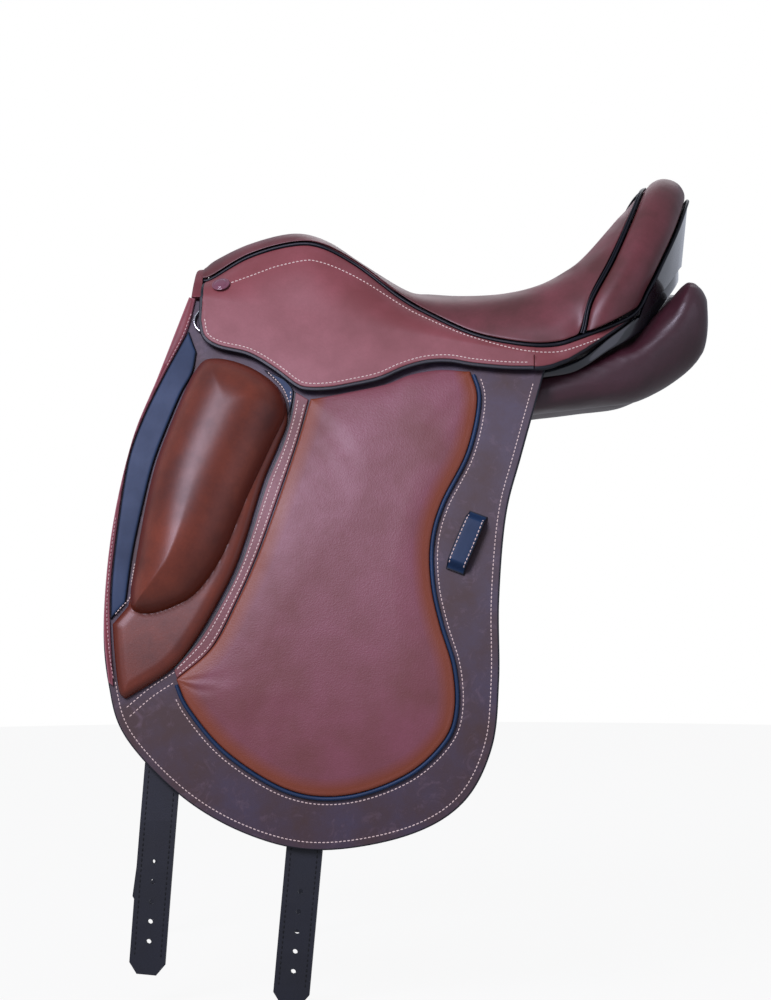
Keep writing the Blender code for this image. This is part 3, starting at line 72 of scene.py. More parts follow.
# Seat ribs from pommel to gusset: welt x, half width, z, then crown x, z and shoulder lift
SEAT_RIBS = [
    (-0.2718, 0.0550, 0.1240, -0.2736, 0.1388, 0.0000),
    (-0.2625, 0.0560, 0.1268, -0.2620, 0.1490, 0.0000),
    (-0.2292, 0.0600, 0.1460, -0.2280, 0.1645, 0.0000),
    (-0.1905, 0.0645, 0.1570, -0.1860, 0.1737, 0.0000),
    (-0.1618, 0.0690, 0.1558, -0.1540, 0.1650, 0.0000),
    (-0.1272, 0.0740, 0.1375, -0.1220, 0.1425, 0.0000),
    (-0.0871, 0.0880, 0.1062, -0.0850, 0.1202, 0.0010),
    (-0.0592, 0.1030, 0.0892, -0.0550, 0.1127, 0.0010),
    (-0.0187, 0.1240, 0.0695, -0.0120, 0.1070, 0.0080),
    (0.0224, 0.1380, 0.0604, 0.0260, 0.1095, 0.0120),
    (0.0522, 0.1405, 0.0595, 0.0520, 0.1163, 0.0160),
]
# Cantle rim: front seam x, half width, z, back seam x, half width, z, swell of the roll
CANTLE_RIM = [
    (0.0767, 0.1380, 0.0666, 0.1258, 0.1150, 0.0878, 0.0100),
    (0.0864, 0.1300, 0.1000, 0.1426, 0.1060, 0.1120, 0.0140),
    (0.1078, 0.1100, 0.1390, 0.1566, 0.0920, 0.1380, 0.0160),
    (0.1261, 0.0840, 0.1780, 0.1723, 0.0680, 0.1690, 0.0170),
    (0.1396, 0.0480, 0.2070, 0.1833, 0.0380, 0.1940, 0.0170),
    (0.1480, 0.0000, 0.2170, 0.1890, 0.0000, 0.2050, 0.0170),
]
# Crown x, z and shoulder lift of the seat at each row of the rim
CANTLE_CROWNS = [
    (0.0680, 0.1258, 0.018), (0.0800, 0.1342, 0.013), (0.0980, 0.1518, 0.012),
    (0.1180, 0.1765, 0.008), (0.1370, 0.2012, 0.003), (0.1480, 0.2170, 0.000),
]
# Lower edges x, half width, z behind; the facing also has its height
CANTLE_BACK_HEM = [
    (0.1255, 0.1140, 0.0800), (0.1408, 0.1030, 0.0920), (0.1540, 0.0860, 0.1080),
    (0.1672, 0.0620, 0.1240), (0.1776, 0.0350, 0.1370), (0.1830, 0.0000, 0.1420),
]
SKIRT_REAR_HEM = [
    (0.0357, 0.1455, 0.0372), (0.0517, 0.1470, 0.0395), (0.0663, 0.1455, 0.0445),
    (0.0828, 0.1405, 0.0546), (0.1045, 0.1295, 0.0693), (0.1216, 0.1185, 0.0815),
]
REAR_FACING = [
    (0.0392, 0.1265, 0.0375, 0.0080), (0.0676, 0.1280, 0.0430, 0.0090),
    (0.0838, 0.1265, 0.0500, 0.0090), (0.1051, 0.1200, 0.0667, 0.0117),
    (0.1260, 0.1080, 0.0819, 0.0154), (0.1435, 0.0930, 0.0959, 0.0154),
    (0.1589, 0.0730, 0.1144, 0.0154), (0.1729, 0.0450, 0.1324, 0.0154),
    (0.1790, 0.0150, 0.1404, 0.0154), (0.1805, 0.0000, 0.1414, 0.0154),
]
# Rolled pommel edge: outer y, z and inner y, z
POMMEL_EDGES = [
    (-0.0745, 0.0980, -0.0720, 0.0980), (-0.0762, 0.1062, -0.0722, 0.1062),
    (-0.0830, 0.1076, -0.0725, 0.1076), (-0.0750, 0.1145, -0.0650, 0.1088),
    (-0.0570, 0.1265, -0.0480, 0.1120), (-0.0320, 0.1365, -0.0230, 0.1160),
    (0.0000, 0.1382, 0.0000, 0.1175),
]
# Panel stations: x, centre half width, centre z, half breadth, half thickness, lean in degrees
PANEL = [
    (-0.2765, 0.0799, 0.0380, 0.0200, 0.0030, 66), (-0.2715, 0.0799, 0.0380, 0.0420, 0.0085, 66),
    (-0.2555, 0.0799, 0.0400, 0.0520, 0.0120, 65), (-0.2056, 0.0809, 0.0400, 0.0560, 0.0150, 61),
    (-0.1451, 0.0739, 0.0320, 0.0510, 0.0190, 48), (-0.0754, 0.0789, 0.0230, 0.0500, 0.0220, 32),
    (-0.0058, 0.0834, 0.0205, 0.0495, 0.0235, 20), (0.0440, 0.0869, 0.0210, 0.0510, 0.0195, 13),
    (0.0941, 0.0850, 0.0290, 0.0500, 0.0230, 8), (0.1292, 0.0830, 0.0395, 0.0460, 0.0300, 5),
    (0.1544, 0.0800, 0.0590, 0.0420, 0.0390, 2), (0.1736, 0.0790, 0.0790, 0.0370, 0.0460, 0),
    (0.1866, 0.0785, 0.0840, 0.0310, 0.0390, 0), (0.1956, 0.0780, 0.0850, 0.0220, 0.0260, 0),
    (0.1994, 0.0780, 0.0850, 0.0050, 0.0060, 0),
]

# Outlines on the hanging surface; a third entry marks a corner
FLAP_EDGE = [
    (-0.3100, 0.0320), (-0.3322, -0.0280), (-0.3482, -0.1090), (-0.3536, -0.1900),
    (-0.3484, -0.2450), (-0.3322, -0.2930), (-0.2805, -0.3455), (-0.2209, -0.3782),
    (-0.1584, -0.3906), (-0.0829, -0.3775), (-0.0331, -0.3485), (-0.0070, -0.3000),
    (-0.0002, -0.2400), (0.0004, -0.1700), (0.0074, -0.0950), (0.0221, -0.0400),
]
SWEAT_EDGE = [
    (-0.2674, 0.0500, 1), (-0.3007, -0.0020), (-0.3252, -0.0700), (-0.3384, -0.1350),
    (-0.3413, -0.1900), (-0.3322, -0.2480), (-0.3039, -0.2980), (-0.2545, -0.3340),
    (-0.2000, -0.3530), (-0.1454, -0.3570), (-0.0907, -0.3470), (-0.0488, -0.3200),
    (-0.0256, -0.2800), (-0.0181, -0.2300), (-0.0163, -0.1700), (-0.0089, -0.0950),
    (0.0042, -0.0400), (0.0212, 0.0040, 1),
]
SKIRT_HEM = [
    (-0.2729, 0.0809), (-0.2683, 0.0647), (-0.2539, 0.0551), (-0.2256, 0.0478),
    (-0.2021, 0.0340), (-0.1834, 0.0199), (-0.1722, 0.0155), (-0.1510, 0.0156),
    (-0.1281, 0.0195), (-0.1043, 0.0249), (-0.0833, 0.0340), (-0.0623, 0.0398),
    (-0.0413, 0.0407), (-0.0204, 0.0372), (0.0103, 0.0342), (0.0357, 0.0337),
]
PAD_EDGE = [
    (-0.1686, 0.0100, 1), (-0.1293, 0.0175), (-0.0994, 0.0240), (-0.0778, 0.0325),
    (-0.0502, 0.0370), (-0.0230, 0.0350, 1), (-0.0169, 0.0080), (-0.0273, -0.0393),
    (-0.0504, -0.0850), (-0.0601, -0.1200), (-0.0595, -0.1580), (-0.0520, -0.1931),
    (-0.0410, -0.2300), (-0.0392, -0.2670), (-0.0493, -0.2942), (-0.0819, -0.3235),
    (-0.1342, -0.3421), (-0.1850, -0.3382), (-0.2390, -0.3066), (-0.2738, -0.2680),
    (-0.2867, -0.2419, 1), (-0.2544, -0.2132), (-0.2321, -0.1713), (-0.2144, -0.1311),
    (-0.1968, -0.0816), (-0.1791, -0.0275),
]
BLOCK_EDGE = [
    (-0.2749, 0.0338), (-0.2636, 0.0450), (-0.2418, 0.0440), (-0.2163, 0.0340),
    (-0.1959, 0.0170), (-0.1896, -0.0079), (-0.1977, -0.0335), (-0.2102, -0.0644),
    (-0.2250, -0.1139), (-0.2346, -0.1417), (-0.2478, -0.1693), (-0.2693, -0.2062),
    (-0.2916, -0.2334), (-0.3323, -0.2595, 1), (-0.3380, -0.2516), (-0.3425, -0.2200),
    (-0.3448, -0.1935, 1), (-0.3311, -0.1775, 1), (-0.3288, -0.1665), (-0.3257, -0.1442),
    (-0.3161, -0.0842), (-0.3079, -0.0480), (-0.2968, -0.0165), (-0.2842, 0.0153),
]
BOLSTER_EDGE = BLOCK_EDGE[:5] + [
    (-0.1905, -0.0050), (-0.2025, -0.0347), (-0.2224, -0.0797), (-0.2443, -0.1333),
    (-0.2667, -0.1661), (-0.2887, -0.1795), (-0.3110, -0.1860), (-0.3262, -0.1824),
] + BLOCK_EDGE[18:]
INLAY_FRONT = [
    (-0.2823, 0.0740), (-0.2919, 0.0553), (-0.3052, 0.0289), (-0.3209, -0.0057),
    (-0.3321, -0.0381), (-0.3376, -0.0685), (-0.3414, -0.1004), (-0.3451, -0.1367),
    (-0.3467, -0.1637), (-0.3466, -0.1890),
]
INLAY_REAR = [
    (-0.2745, 0.0540), (-0.2778, 0.0345), (-0.2876, 0.0153), (-0.3001, -0.0165),
    (-0.3110, -0.0480), (-0.3193, -0.0842), (-0.3280, -0.1300), (-0.3333, -0.1745),
]
BINDING_INNER = ([(-0.2768, 0.1046), (-0.2833, 0.0762)]
                 + [(x - 0.0010, z) for x, z in INLAY_FRONT[1:9]]
                 + [(-0.3470, -0.1960), (-0.3432, -0.2480)])
# Double-stitched strip, which begins at the rear edge of the block, and the patch at its top
STRIP_FRONT = [
    (-0.1838, 0.0175), (-0.1872, -0.0060), (-0.1952, -0.0335), (-0.2078, -0.0644),
    (-0.2226, -0.1139), (-0.2322, -0.1417), (-0.2455, -0.1693), (-0.2670, -0.2054),
    (-0.2893, -0.2318),
]
STRIP_REAR = [
    (-0.1706, 0.0095), (-0.1809, -0.0290), (-0.1986, -0.0822), (-0.2162, -0.1318),
    (-0.2339, -0.1722), (-0.2561, -0.2142), (-0.2862, -0.2409),
]
TONGUE_FRONT = [(-0.2120, 0.0372), (-0.1955, 0.0214), (-0.1886, 0.0040), (-0.1889, -0.0052)]
TONGUE_REAR = [(-0.1925, 0.0280), (-0.1846, 0.0180), (-0.1856, 0.0050), (-0.1886, -0.0052)]


def unit(vectors):
    """Vectors along the last axis at length one; a zero vector stays zero."""
    length = np.linalg.norm(vectors, axis=-1, keepdims=True)
    return vectors / np.maximum(length, 1e-9)


def square_to(direction, tangent):
    """Unit part of each direction that is square to the tangent."""
    return unit(direction - (direction * tangent).sum(-1, keepdims=True) * tangent)


def curve(rows, positions):
    """Catmull-Rom curve through rows; a position counts rows, so 1.5 lies between rows 1 and 2."""
    rows = np.asarray(rows, float)
    rows = np.vstack([2 * rows[0] - rows[1], rows, 2 * rows[-1] - rows[-2]])
    positions = np.asarray(positions, float)
    start = np.minimum(positions.astype(int), len(rows) - 4)
    share = (positions - start)[:, None]
    a, b, c, d = (rows[start + i] for i in range(4))
    return b + 0.5 * share * (c - a + share * (2 * a - 5 * b + 4 * c - d
                                               + share * (3 * (b - c) + d - a)))


def smooth(rows, count):
    """Catmull-Rom curve through rows, at evenly spaced positions."""
    return curve(rows, np.linspace(0.0, len(rows) - 1.0, count))


def mirrored_rows(rows, y_columns):
    """Rows from the left end over the middle to the right end, from rows given for one side."""
    left = np.array(rows, float)
    left[:, y_columns] *= -1.0
    right = left[-2::-1].copy()
    right[:, y_columns] *= -1.0
    return np.vstack([left, right])


def resampled(line, shares):
    """Places on a line at shares of its length."""
    line = np.asarray(line, float)
    reach = np.r_[0.0, np.cumsum(np.linalg.norm(np.diff(line, axis=0), axis=1))]
    return np.column_stack([np.interp(np.asarray(shares) * reach[-1], reach, column)
                            for column in line.T])


def length_of(line):
    """Length of a line of points."""
    return np.linalg.norm(np.diff(line, axis=0), axis=1).sum()


def outline(points, steps=12):
    """Closed line through points, smooth except at corners; point k lies at index k * steps."""
    flat = np.array([point[:2] for point in points], float)
    corners = [i for i, point in enumerate(points) if len(point) > 2]
    if not corners:
        rows = np.vstack([flat[-2:], flat, flat[:3]])
        return curve(rows, np.arange(len(flat) * steps) / steps + 2)
    runs = []
    for begin, end in zip(corners, corners[1:] + [corners[0] + len(points)]):
        rows = flat[np.arange(begin, end + 1) % len(points)]
        runs.append(curve(rows, np.arange((end - begin) * steps) / steps))
    return np.roll(np.vstack(runs), corners[0] * steps, axis=0)


def stretch_of(line, first, last, steps=12):
    """Part of a closed line between two of its points, backwards if last is less than first."""
    way = 1 if last > first else -1
    index = np.arange(first * steps, last * steps + way, way) % len(line)
    return line[index]


def fold_z(x):
    """Height of the fold line of flap and skirt."""
    share = (x - FOLD_FRONT[0]) / (FOLD_REAR[0] - FOLD_FRONT[0])
    return FOLD_FRONT[1] + share * (FOLD_REAR[1] - FOLD_FRONT[1])


def side_normal(places):
    """Unit vectors away from the horse on the left side."""
    z = places[..., 1]
    return unit(np.stack([z * 0.0 - 0.10, z * 0.0 - 1.0, 0.47 - 0.878 * (0.100 - z)], -1))


def on_side(places, height):
    """Points at a height over the hanging surface: half width is a parabola of the drop in z."""
    x, z = places[..., 0], places[..., 1]
    drop = 0.100 - z
    half = 0.100 + 0.47 * drop - 0.439 * drop ** 2 + 0.10 * (x + 0.110)
    return np.stack([x, -half, z], -1) + side_normal(places) * np.asarray(height)[..., None]


def distance_to(places, line):
    """Distance of each place from a line of places."""
    flat = places.reshape(-1, places.shape[-1])
    start, span = line[:-1], np.diff(line, axis=0)
    square = np.maximum((span * span).sum(1), 1e-16)
    found = []
    for part in np.array_split(flat, max(1, len(flat) // 2000)):
        offset = part[:, None, :] - start[None]
        share = np.clip((offset * span).sum(2) / square, 0.0, 1.0)
        found.append(np.linalg.norm(offset - share[..., None] * span, axis=2).min(1))
    return np.concatenate(found).reshape(places.shape[:-1])


def inside(places, line):
    """Whether each place lies inside a closed line, by counting crossings."""
    flat = places.reshape(-1, 2)
    start, end = line, np.roll(line, -1, axis=0)
    crosses = (start[None, :, 1] > flat[:, None, 1]) != (end[None, :, 1] > flat[:, None, 1])
    rise = np.where(np.abs(end[:, 1] - start[:, 1]) < 1e-12, 1e-12, end[:, 1] - start[:, 1])
    reach = start[:, 0] + (flat[:, None, 1] - start[:, 1]) * (end[:, 0] - start[:, 0]) / rise
    return ((crosses & (flat[:, None, 0] < reach)).sum(1) % 2 == 1).reshape(places.shape[:-1])


def dome(distance, roll):
    """Share of full height at a distance from the edge: a quarter ellipse as wide as roll."""
    share = np.clip(distance / roll, 0.0, 1.0)
    return np.sqrt(1.0 - (1.0 - share) ** 2)


def ease(value, low, high):
    """0 below low, 1 above high, and a smooth S between."""
    share = np.clip((value - low) / (high - low), 0.0, 1.0)
    return share * share * (3.0 - 2.0 * share)


def spread(length, step, starts=True, ends=True):
    """Places from 0 to length about a step apart, crowded towards an end that has a rim."""
    first = EDGE_STEPS if starts else np.zeros(1)
    last = length - (EDGE_STEPS[::-1] if ends else np.zeros(1))
    count = max(2, int(round((last[0] - first[-1]) / step)))
    return np.r_[first, np.linspace(first[-1], last[0], count + 1)[1:-1], last]


def patch(left, right, step, rims=(True, True, True, True), top=None):
    """Grid of places ruled between two lines that run the same way.

    rims tells which of left, right, first row and last row have a rim, where the grid is
    crowded at fixed distances. top bends the first row to a given line, fading down the rows.
    """
    length = (length_of(left) + length_of(right)) / 2.0
    shares = spread(length, step, rims[2], rims[3]) / length
    left, right = resampled(left, shares), resampled(right, shares)
    width = np.linalg.norm(right - left, axis=1)[:, None]
    across = spread(width.max(), step, rims[0], rims[1])
    first = len(EDGE_STEPS) if rims[0] else 1
    last = len(EDGE_STEPS) if rims[1] else 1
    fixed, share = np.zeros(len(across)), np.zeros(len(across))
    fixed[:first] = across[:first]
    fixed[-last:] = across[-last:] - width.max()
    share[-last:] = 1.0
    middle = np.linspace(0.0, 1.0, len(across) - first - last + 2)
    fixed[first - 1:len(across) - last + 1] = ((1.0 - middle) * fixed[first - 1]
                                               + middle * fixed[-last])
    share[first - 1:len(across) - last + 1] = middle
    room = 3.0 * (fixed[first - 1] - fixed[-last]) + 1e-9
    place = fixed * np.minimum(1.0, width / room) + share * width
    u = (place / np.maximum(width, 1e-9))[..., None]
    grid = left[:, None] * (1.0 - u) + right[:, None] * u
    if top is not None:
        straight = left[0] * (1.0 - u[0]) + right[0] * u[0]
        bulge = resampled(top, u[0, :, 0]) - straight
        grid = grid + ((1.0 - shares) ** 2)[:, None, None] * bulge
    return grid


def rim_of(grid):
    """Closed line round a grid of places."""
    return np.vstack([grid[0, :-1], grid[:-1, -1], grid[-1, :0:-1], grid[::-1, 0]])


def grid_normals(grid):
    """Normals of a grid of points: the cross product of its two directions."""
    return unit(np.cross(np.gradient(grid, axis=0), np.gradient(grid, axis=1)))


def cells(rows, columns, wrap=False):
    """Corner numbers of the cells of a grid; wrap joins its last column to the first."""
    index = np.arange(rows * columns).reshape(rows, columns)
    if wrap:
        index = np.hstack([index, index[:, :1]])
    return np.stack([index[:-1, :-1], index[1:, :-1], index[1:, 1:], index[:-1, 1:]],
                    -1).reshape(-1, 4)


def mesh_of(name, points, faces, edge=None, keep_sharp=38.0):
    """Mesh from arrays: seams and poles are joined, and faces turned outwards.

    edge is the distance from the leather's rim in millimetres, which the materials use.
    """
    points = np.asarray(points, float).reshape(-1, 3)
    mesh = bpy.data.meshes.new(name)
    mesh.from_pydata(points.tolist(), [], np.asarray(faces).tolist())
    values = np.full(len(points), FAR) if edge is None else np.asarray(edge, float).ravel()
    mesh.attributes.new("edge", 'FLOAT', 'POINT').data.foreach_set("value", values)
    made = bmesh.new()
    made.from_mesh(mesh)
    bmesh.ops.remove_doubles(made, verts=made.verts, dist=3e-6)
    bmesh.ops.dissolve_degenerate(made, edges=made.edges, dist=1e-6)
    bmesh.ops.recalc_face_normals(made, faces=made.faces)
    if made.calc_volume(signed=True) < 0.0:
        bmesh.ops.reverse_faces(made, faces=made.faces)
    made.to_mesh(mesh)
    made.free()
    mesh.shade_smooth()
    mesh.set_sharp_from_angle(angle=math.radians(keep_sharp))
    return mesh


def slab(name, top, bottom, edge=None, mask=None, keep_sharp=38.0, sewn=False):
    """Closed sheet between two grids of points, with walls round it and round masked holes.

    The underside of a sewn cushion counts as its rim, so that it stays where it is.
    """
    rows, columns = top.shape[:2]
    faces = cells(rows, columns)
    if mask is not None:
        faces = faces[mask.ravel()]
    ends = np.concatenate([faces[:, [i, (i + 1) % 4]] for i in range(4)])
    below = rows * columns
    open_ends = ends[~np.isin(ends @ (below, 1), ends @ (1, below))]
    walls = np.column_stack([open_ends[:, ::-1], open_ends + below])
    both = np.concatenate([faces, faces[:, ::-1] + below, walls])
    used, new = np.unique(both, return_inverse=True)
    points = np.concatenate([top.reshape(-1, 3), bottom.reshape(-1, 3)])[used]
    values = None
    if edge is not None:
        values = np.concatenate([edge.ravel(), edge.ravel() * (0.0 if sewn else 1.0)])[used]
    return mesh_of(name, points, new.reshape(both.shape), values, keep_sharp)


def raised(name, grid, top, away, bottom=GAP, sewn=False):
    """Body on the hanging surface; away is each place's distance from its rim, in metres."""
    return slab(name, on_side(grid, top), on_side(grid, 0.0 * top + bottom), away * 1000.0,
                sewn=sewn)


def side_sheet(name, grid, top, bottom, rim_lines=None, radius=0.0014, dye=None, mask=None,
               ledge=None):
    """Leather on the hanging surface, with a rounded rim along the given lines.

    top and bottom are heights of its faces. dye names other lines for the edge colour. ledge
    is the width and depth of a lower border, as where a turned edge lies under the leather.
    """
    lines = [rim_of(grid)] if rim_lines is None else rim_lines
    away = np.min([distance_to(grid, line) for line in lines], axis=0)
    fall = radius * (1.0 - dome(away, radius))
    upper = top - fall
    if ledge is not None:
        away = np.min([distance_to(grid, line) for line in dye], axis=0)
        upper = upper - ledge[1] * (1.0 - ease(away, ledge[0] - 0.0003, ledge[0] + 0.0004))
    lower = bottom + np.minimum(fall, np.maximum(upper - bottom, 0.0) * 0.5)
    if dye is not None:
        away = np.min([distance_to(grid, line) for line in dye], axis=0)
    return slab(name, on_side(grid, upper), on_side(grid, lower), away * 1000.0, mask)


def swept(name, sections, edge=None, keep_sharp=38.0):
    """Closed body through closed sections, each an oval of points, ended by their centres."""
    sections = np.asarray(sections)
    first = np.repeat(sections[:1].mean(1, keepdims=True), sections.shape[1], axis=1)
    last = np.repeat(sections[-1:].mean(1, keepdims=True), sections.shape[1], axis=1)
    points = np.concatenate([first, sections, last])
    if edge is not None:
        edge = np.concatenate([edge[:1], edge, edge[-1:]])
    return mesh_of(name, points, cells(len(points), points.shape[1], True), edge, keep_sharp)


def circles(first, second, sides):
    """Unit circles, one for each point of a line, that are spanned by two directions there."""
    angles = np.linspace(0.0, TURN, sides, endpoint=False)[None, :, None]
    return np.cos(angles) * first[:, None] + np.sin(angles) * second[:, None]


def squared(sides, power):
    """Cosines and sines round a circle to a power, signs kept: below 1 the shape is squarer."""
    angles = np.linspace(0.0, TURN, sides, endpoint=False)
    return (np.sign(f(angles)) * np.abs(f(angles)) ** power for f in (np.cos, np.sin))


def cord(name, line, out, radius, sides=14):
    """Round cord: a circle carried along a line, with rounded ends; out is any side direction."""
    tangent = unit(np.gradient(line, axis=0))
    out = square_to(out, tangent)
    across = np.cross(tangent, out)
    return swept(name, line[:, None] + radius * circles(out, across, sides))


def thread(name, rows, pitch=0.0037, radius=0.00052, length=0.0028):
    """Stitches: bowed capsules along rows of (points, normals), each end sunk in the leather."""
    along = np.array([-1.0, -0.8, 0.0, 0.8, 1.0])
    width = np.array([0.0, 0.85, 1.0, 0.85, 0.0]) * radius
    angles = np.linspace(0.0, TURN, 6, endpoint=False)
    sink = 0.00055                     # how deep the ends lie
    points = []
    for line, normal in rows:
        reach = np.r_[0.0, np.cumsum(np.linalg.norm(np.diff(line, axis=0), axis=1))]
        count = max(1, int(reach[-1] / pitch))
        at = (np.arange(count) + 0.5) * reach[-1] / count
        centre, tangent, out = (np.column_stack([np.interp(at, reach, column)
                                                 for column in values.T])[:, None, None]
                                for values in (line, np.gradient(line, axis=0), normal))
        tangent, out = unit(tangent), unit(out)
        bow = radius * 0.35 - sink * along ** 2
        points.append(
            centre + tangent * (along * length / 2)[:, None, None]
            + unit(np.cross(tangent, out)) * (width[:, None] * np.cos(angles))[..., None]
            + out * (width[:, None] * np.sin(angles) + bow[:, None])[..., None])
    points = np.concatenate(points)
    one = cells(len(along), len(angles), True)
    first = len(along) * len(angles) * np.arange(len(points))
    return mesh_of(name, points, (one[None] + first[:, None, None]).reshape(-1, 4))


def row_on_side(places, height, pieces=200):
    """Line of stitches on the hanging surface: smooth through places, with its normals."""
    line = smooth(places, pieces) if len(places) > 2 else resampled(places, np.linspace(0, 1, 9))
    return on_side(line, height), side_normal(line)


def inset(line, distance):
    """Line moved square to itself, to the left of its direction."""
    tangent = np.gradient(line, axis=0)
    return line + distance * unit(np.column_stack([-tangent[:, 1], tangent[:, 0]]))


# Materials


def linear(code):
    """Linear colour from an sRGB hex code."""
    value = np.array([int(code[i:i + 2], 16) for i in (1, 3, 5)]) / 255.0
    value = np.where(value <= 0.04045, value / 12.92, ((value + 0.055) / 1.055) ** 2.4)
    return (*value.tolist(), 1.0)


def node(tree, kind, links=(), **values):
    """Add a node. Keys of values are inputs by name or number, or else properties of the node;
    links are (input, socket) pairs."""
    made = tree.nodes.new(kind)
    for key, value in values.items():
        if hasattr(made, key):
            setattr(made, key, value)
    for key, value in values.items():
        if not hasattr(made, key):
            place = int(key[1:]) if key[0] == "i" and key[1:].isdigit() else key.replace("_", " ")
            made.inputs[place].default_value = value
    for key, socket in links:
        tree.links.new(socket, made.inputs[key])
    return made


def ramp(tree, value, low, high, first, last):
    """A value's range from low to high carried to first to last, and held at both ends."""
    return node(tree, 'ShaderNodeMapRange', [("Value", value)], From_Min=low, From_Max=high,
                To_Min=first, To_Max=last).outputs[0]


def noise(tree, scale, detail, **values):
    """Noise from 0 to 1 over the object's own places, in cells of 1 / scale metres."""
    place = node(tree, 'ShaderNodeTexCoord').outputs["Object"]
    return node(tree, 'ShaderNodeTexNoise', [("Vector", place)], Scale=scale, Detail=detail,
                **values).outputs["Fac"]


def maths(tree, operation, first, second):
    """Result of a socket and another socket or a number."""
    if isinstance(second, float):
        return node(tree, 'ShaderNodeMath', [(0, first)], operation=operation,
                    i1=second).outputs[0]
    return node(tree, 'ShaderNodeMath', [(0, first), (1, second)],
                operation=operation).outputs[0]


def blend_colour(tree, factor, first, second, mode='MIX'):
    """Mix two colours, each a hex code or a socket."""
    made = node(tree, 'ShaderNodeMix', data_type='RGBA', blend_type=mode)
    if isinstance(factor, float):
        made.inputs[0].default_value = factor
    else:
        tree.links.new(factor, made.inputs[0])
    for place, colour in ((6, first), (7, second)):
        if isinstance(colour, str):
            made.inputs[place].default_value = linear(colour)
        else:
            tree.links.new(colour, made.inputs[place])
    return made.outputs[2]


def surface(name, **values):
    """Material, its node tree and its Principled shader with typed-in values."""
    made = bpy.data.materials.new(name)
    made.use_nodes = True
    shader = made.node_tree.nodes["Principled BSDF"]
    for key, value in values.items():
        shader.inputs[key.replace("_", " ")].default_value = value
    return made, made.node_tree, shader


def leather(name, colour, deep, grain=1.1, relief=0.10, rough=0.42, dye=None, dye_width=0.0,
            rim=None, rim_width=0.0, mottle=0.6, coat=0.0, coat_rough=0.2, scuff=None, gloss=0.4):
    """Leather: pores grain millimetres wide and relief millimetres deep over a mottled base.

    Within rim_width millimetres of its edge it takes the colour rim, painted shade on the block and
    pad, and within dye_width the colour dye; scuff is the colour of pull-up marks.
    """
    made, tree, shader = surface(name, Coat_Weight=coat, Coat_Roughness=coat_rough,
                                 Specular_IOR_Level=gloss)
    clouds = noise(tree, 16.0, 5.0, Roughness=0.6)
    fine = noise(tree, 420.0, 3.0)
    place = node(tree, 'ShaderNodeTexCoord').outputs["Object"]
    pores = node(tree, 'ShaderNodeTexVoronoi', [("Vector", place)], Scale=1000.0 / grain,
                 feature='F1').outputs["Distance"]
    tint = blend_colour(tree, ramp(tree, clouds, 0.36, 0.66, 0.0, mottle), colour, deep)
    tint = blend_colour(tree, ramp(tree, fine, 0.3, 0.7, 0.0, 0.22), tint, deep)
    edge = node(tree, 'ShaderNodeAttribute', attribute_name="edge").outputs["Fac"]
    if scuff is not None:
        marks = noise(tree, 55.0, 8.0, Roughness=0.7, Distortion=1.4)
        tint = blend_colour(tree, ramp(tree, marks, 0.54, 0.72, 0.0, 0.55), tint, scuff)
    if rim is not None:
        near = ramp(tree, edge, rim_width * 0.35, rim_width, 1.0, 0.0)
        tint = blend_colour(tree, near, tint, rim)
    if dye is not None:
        near = ramp(tree, edge, dye_width - 0.1, dye_width + 0.25, 1.0, 0.0)
        tint = blend_colour(tree, near, tint, dye)
    bump = node(tree, 'ShaderNodeBump', [("Height", maths(tree, 'ADD', pores, fine))],
                Strength=0.6, Distance=relief * 0.001)
    for key, socket in (("Base Color", tint), ("Normal", bump.outputs[0]),
                        ("Roughness", ramp(tree, clouds, 0.3, 0.7, rough - 0.05, rough + 0.06))):
        tree.links.new(socket, shader.inputs[key])
    return made


def metal(name, colour, rough, scratch):
    """Steel: a clean face whose fine polishing marks break up the reflections."""
    made, tree, shader = surface(name, Metallic=1.0)
    marks, stain = noise(tree, 700.0, 4.0), noise(tree, 60.0, 4.0)
    tree.links.new(blend_colour(tree, stain, colour, "#8e8f92"), shader.inputs["Base Color"])
    tree.links.new(ramp(tree, marks, 0.3, 0.7, rough, rough + scratch),
                   shader.inputs["Roughness"])
    return made


# Smooth bridle-type leather, oiled and buffed: warm brown with a soft satin shine
CHESTNUT = leather("seat_hide", "#70383b", "#4e2623", grain=0.9, relief=0.05, rough=0.42,
                   mottle=0.9)
SKIRT = leather("skirt_hide", "#88484a", "#733837", grain=0.9, relief=0.05, rough=0.45,
                dye="#070a14", dye_width=3.0, mottle=0.95)
# Soft calf over foam, drum dyed; its darker rim colour within 7 mm of the edge is painted shade at
# the foot of the block and bolster, which leaves their crowns lighter
TAN = leather("block_calf", "#75341f", "#4a1c10", grain=0.8, relief=0.05, rough=0.37,
              rim="#5a200c", rim_width=7.0, mottle=0.9)
# Milled calf with a pebble grain: small raised cells, matt in the creases
# The orange-brown rim colour within 16 mm of the sewn edge is painted shade where the pad's dome
# falls away from the light
PAD = leather("pad_calf", "#7e464f", "#6d3a39", grain=1.3, relief=0.16, rough=0.46,
              rim="#7a3a22", rim_width=16.0, mottle=1.0)
STRIP = leather("strip_calf", "#784143", "#5f302c", grain=1.1, relief=0.08, rough=0.44,
                dye="#05070c", dye_width=2.0, mottle=0.9)
# Harness leather: dark brown mottled with a bluish-grey tint that is a painted sky reflection, with
# pull-up marks
PAINTED_SHEEN_HIDE = leather("painted_sheen_hide", "#403646", "#3f2b29", grain=0.7, relief=0.06, rough=0.50,
                dye="#080a14", dye_width=1.2, scuff="#66525a", mottle=1.0)
PANEL_HIDE = leather("panel_calf", "#431f28", "#260b0f", grain=1.0, relief=0.06, rough=0.36,
                     gloss=0.6)
# Vat-dyed navy calf, smooth: bluish where light grazes it
NAVY = leather("inlay_calf", "#163353", "#0e2138", grain=0.8, relief=0.03, rough=0.50,
               rim="#070c16", rim_width=1.6, gloss=0.28)
PIPING = leather("piping_calf", "#070b16", "#04070e", grain=0.7, relief=0.03, rough=0.40,
                 gloss=0.25)
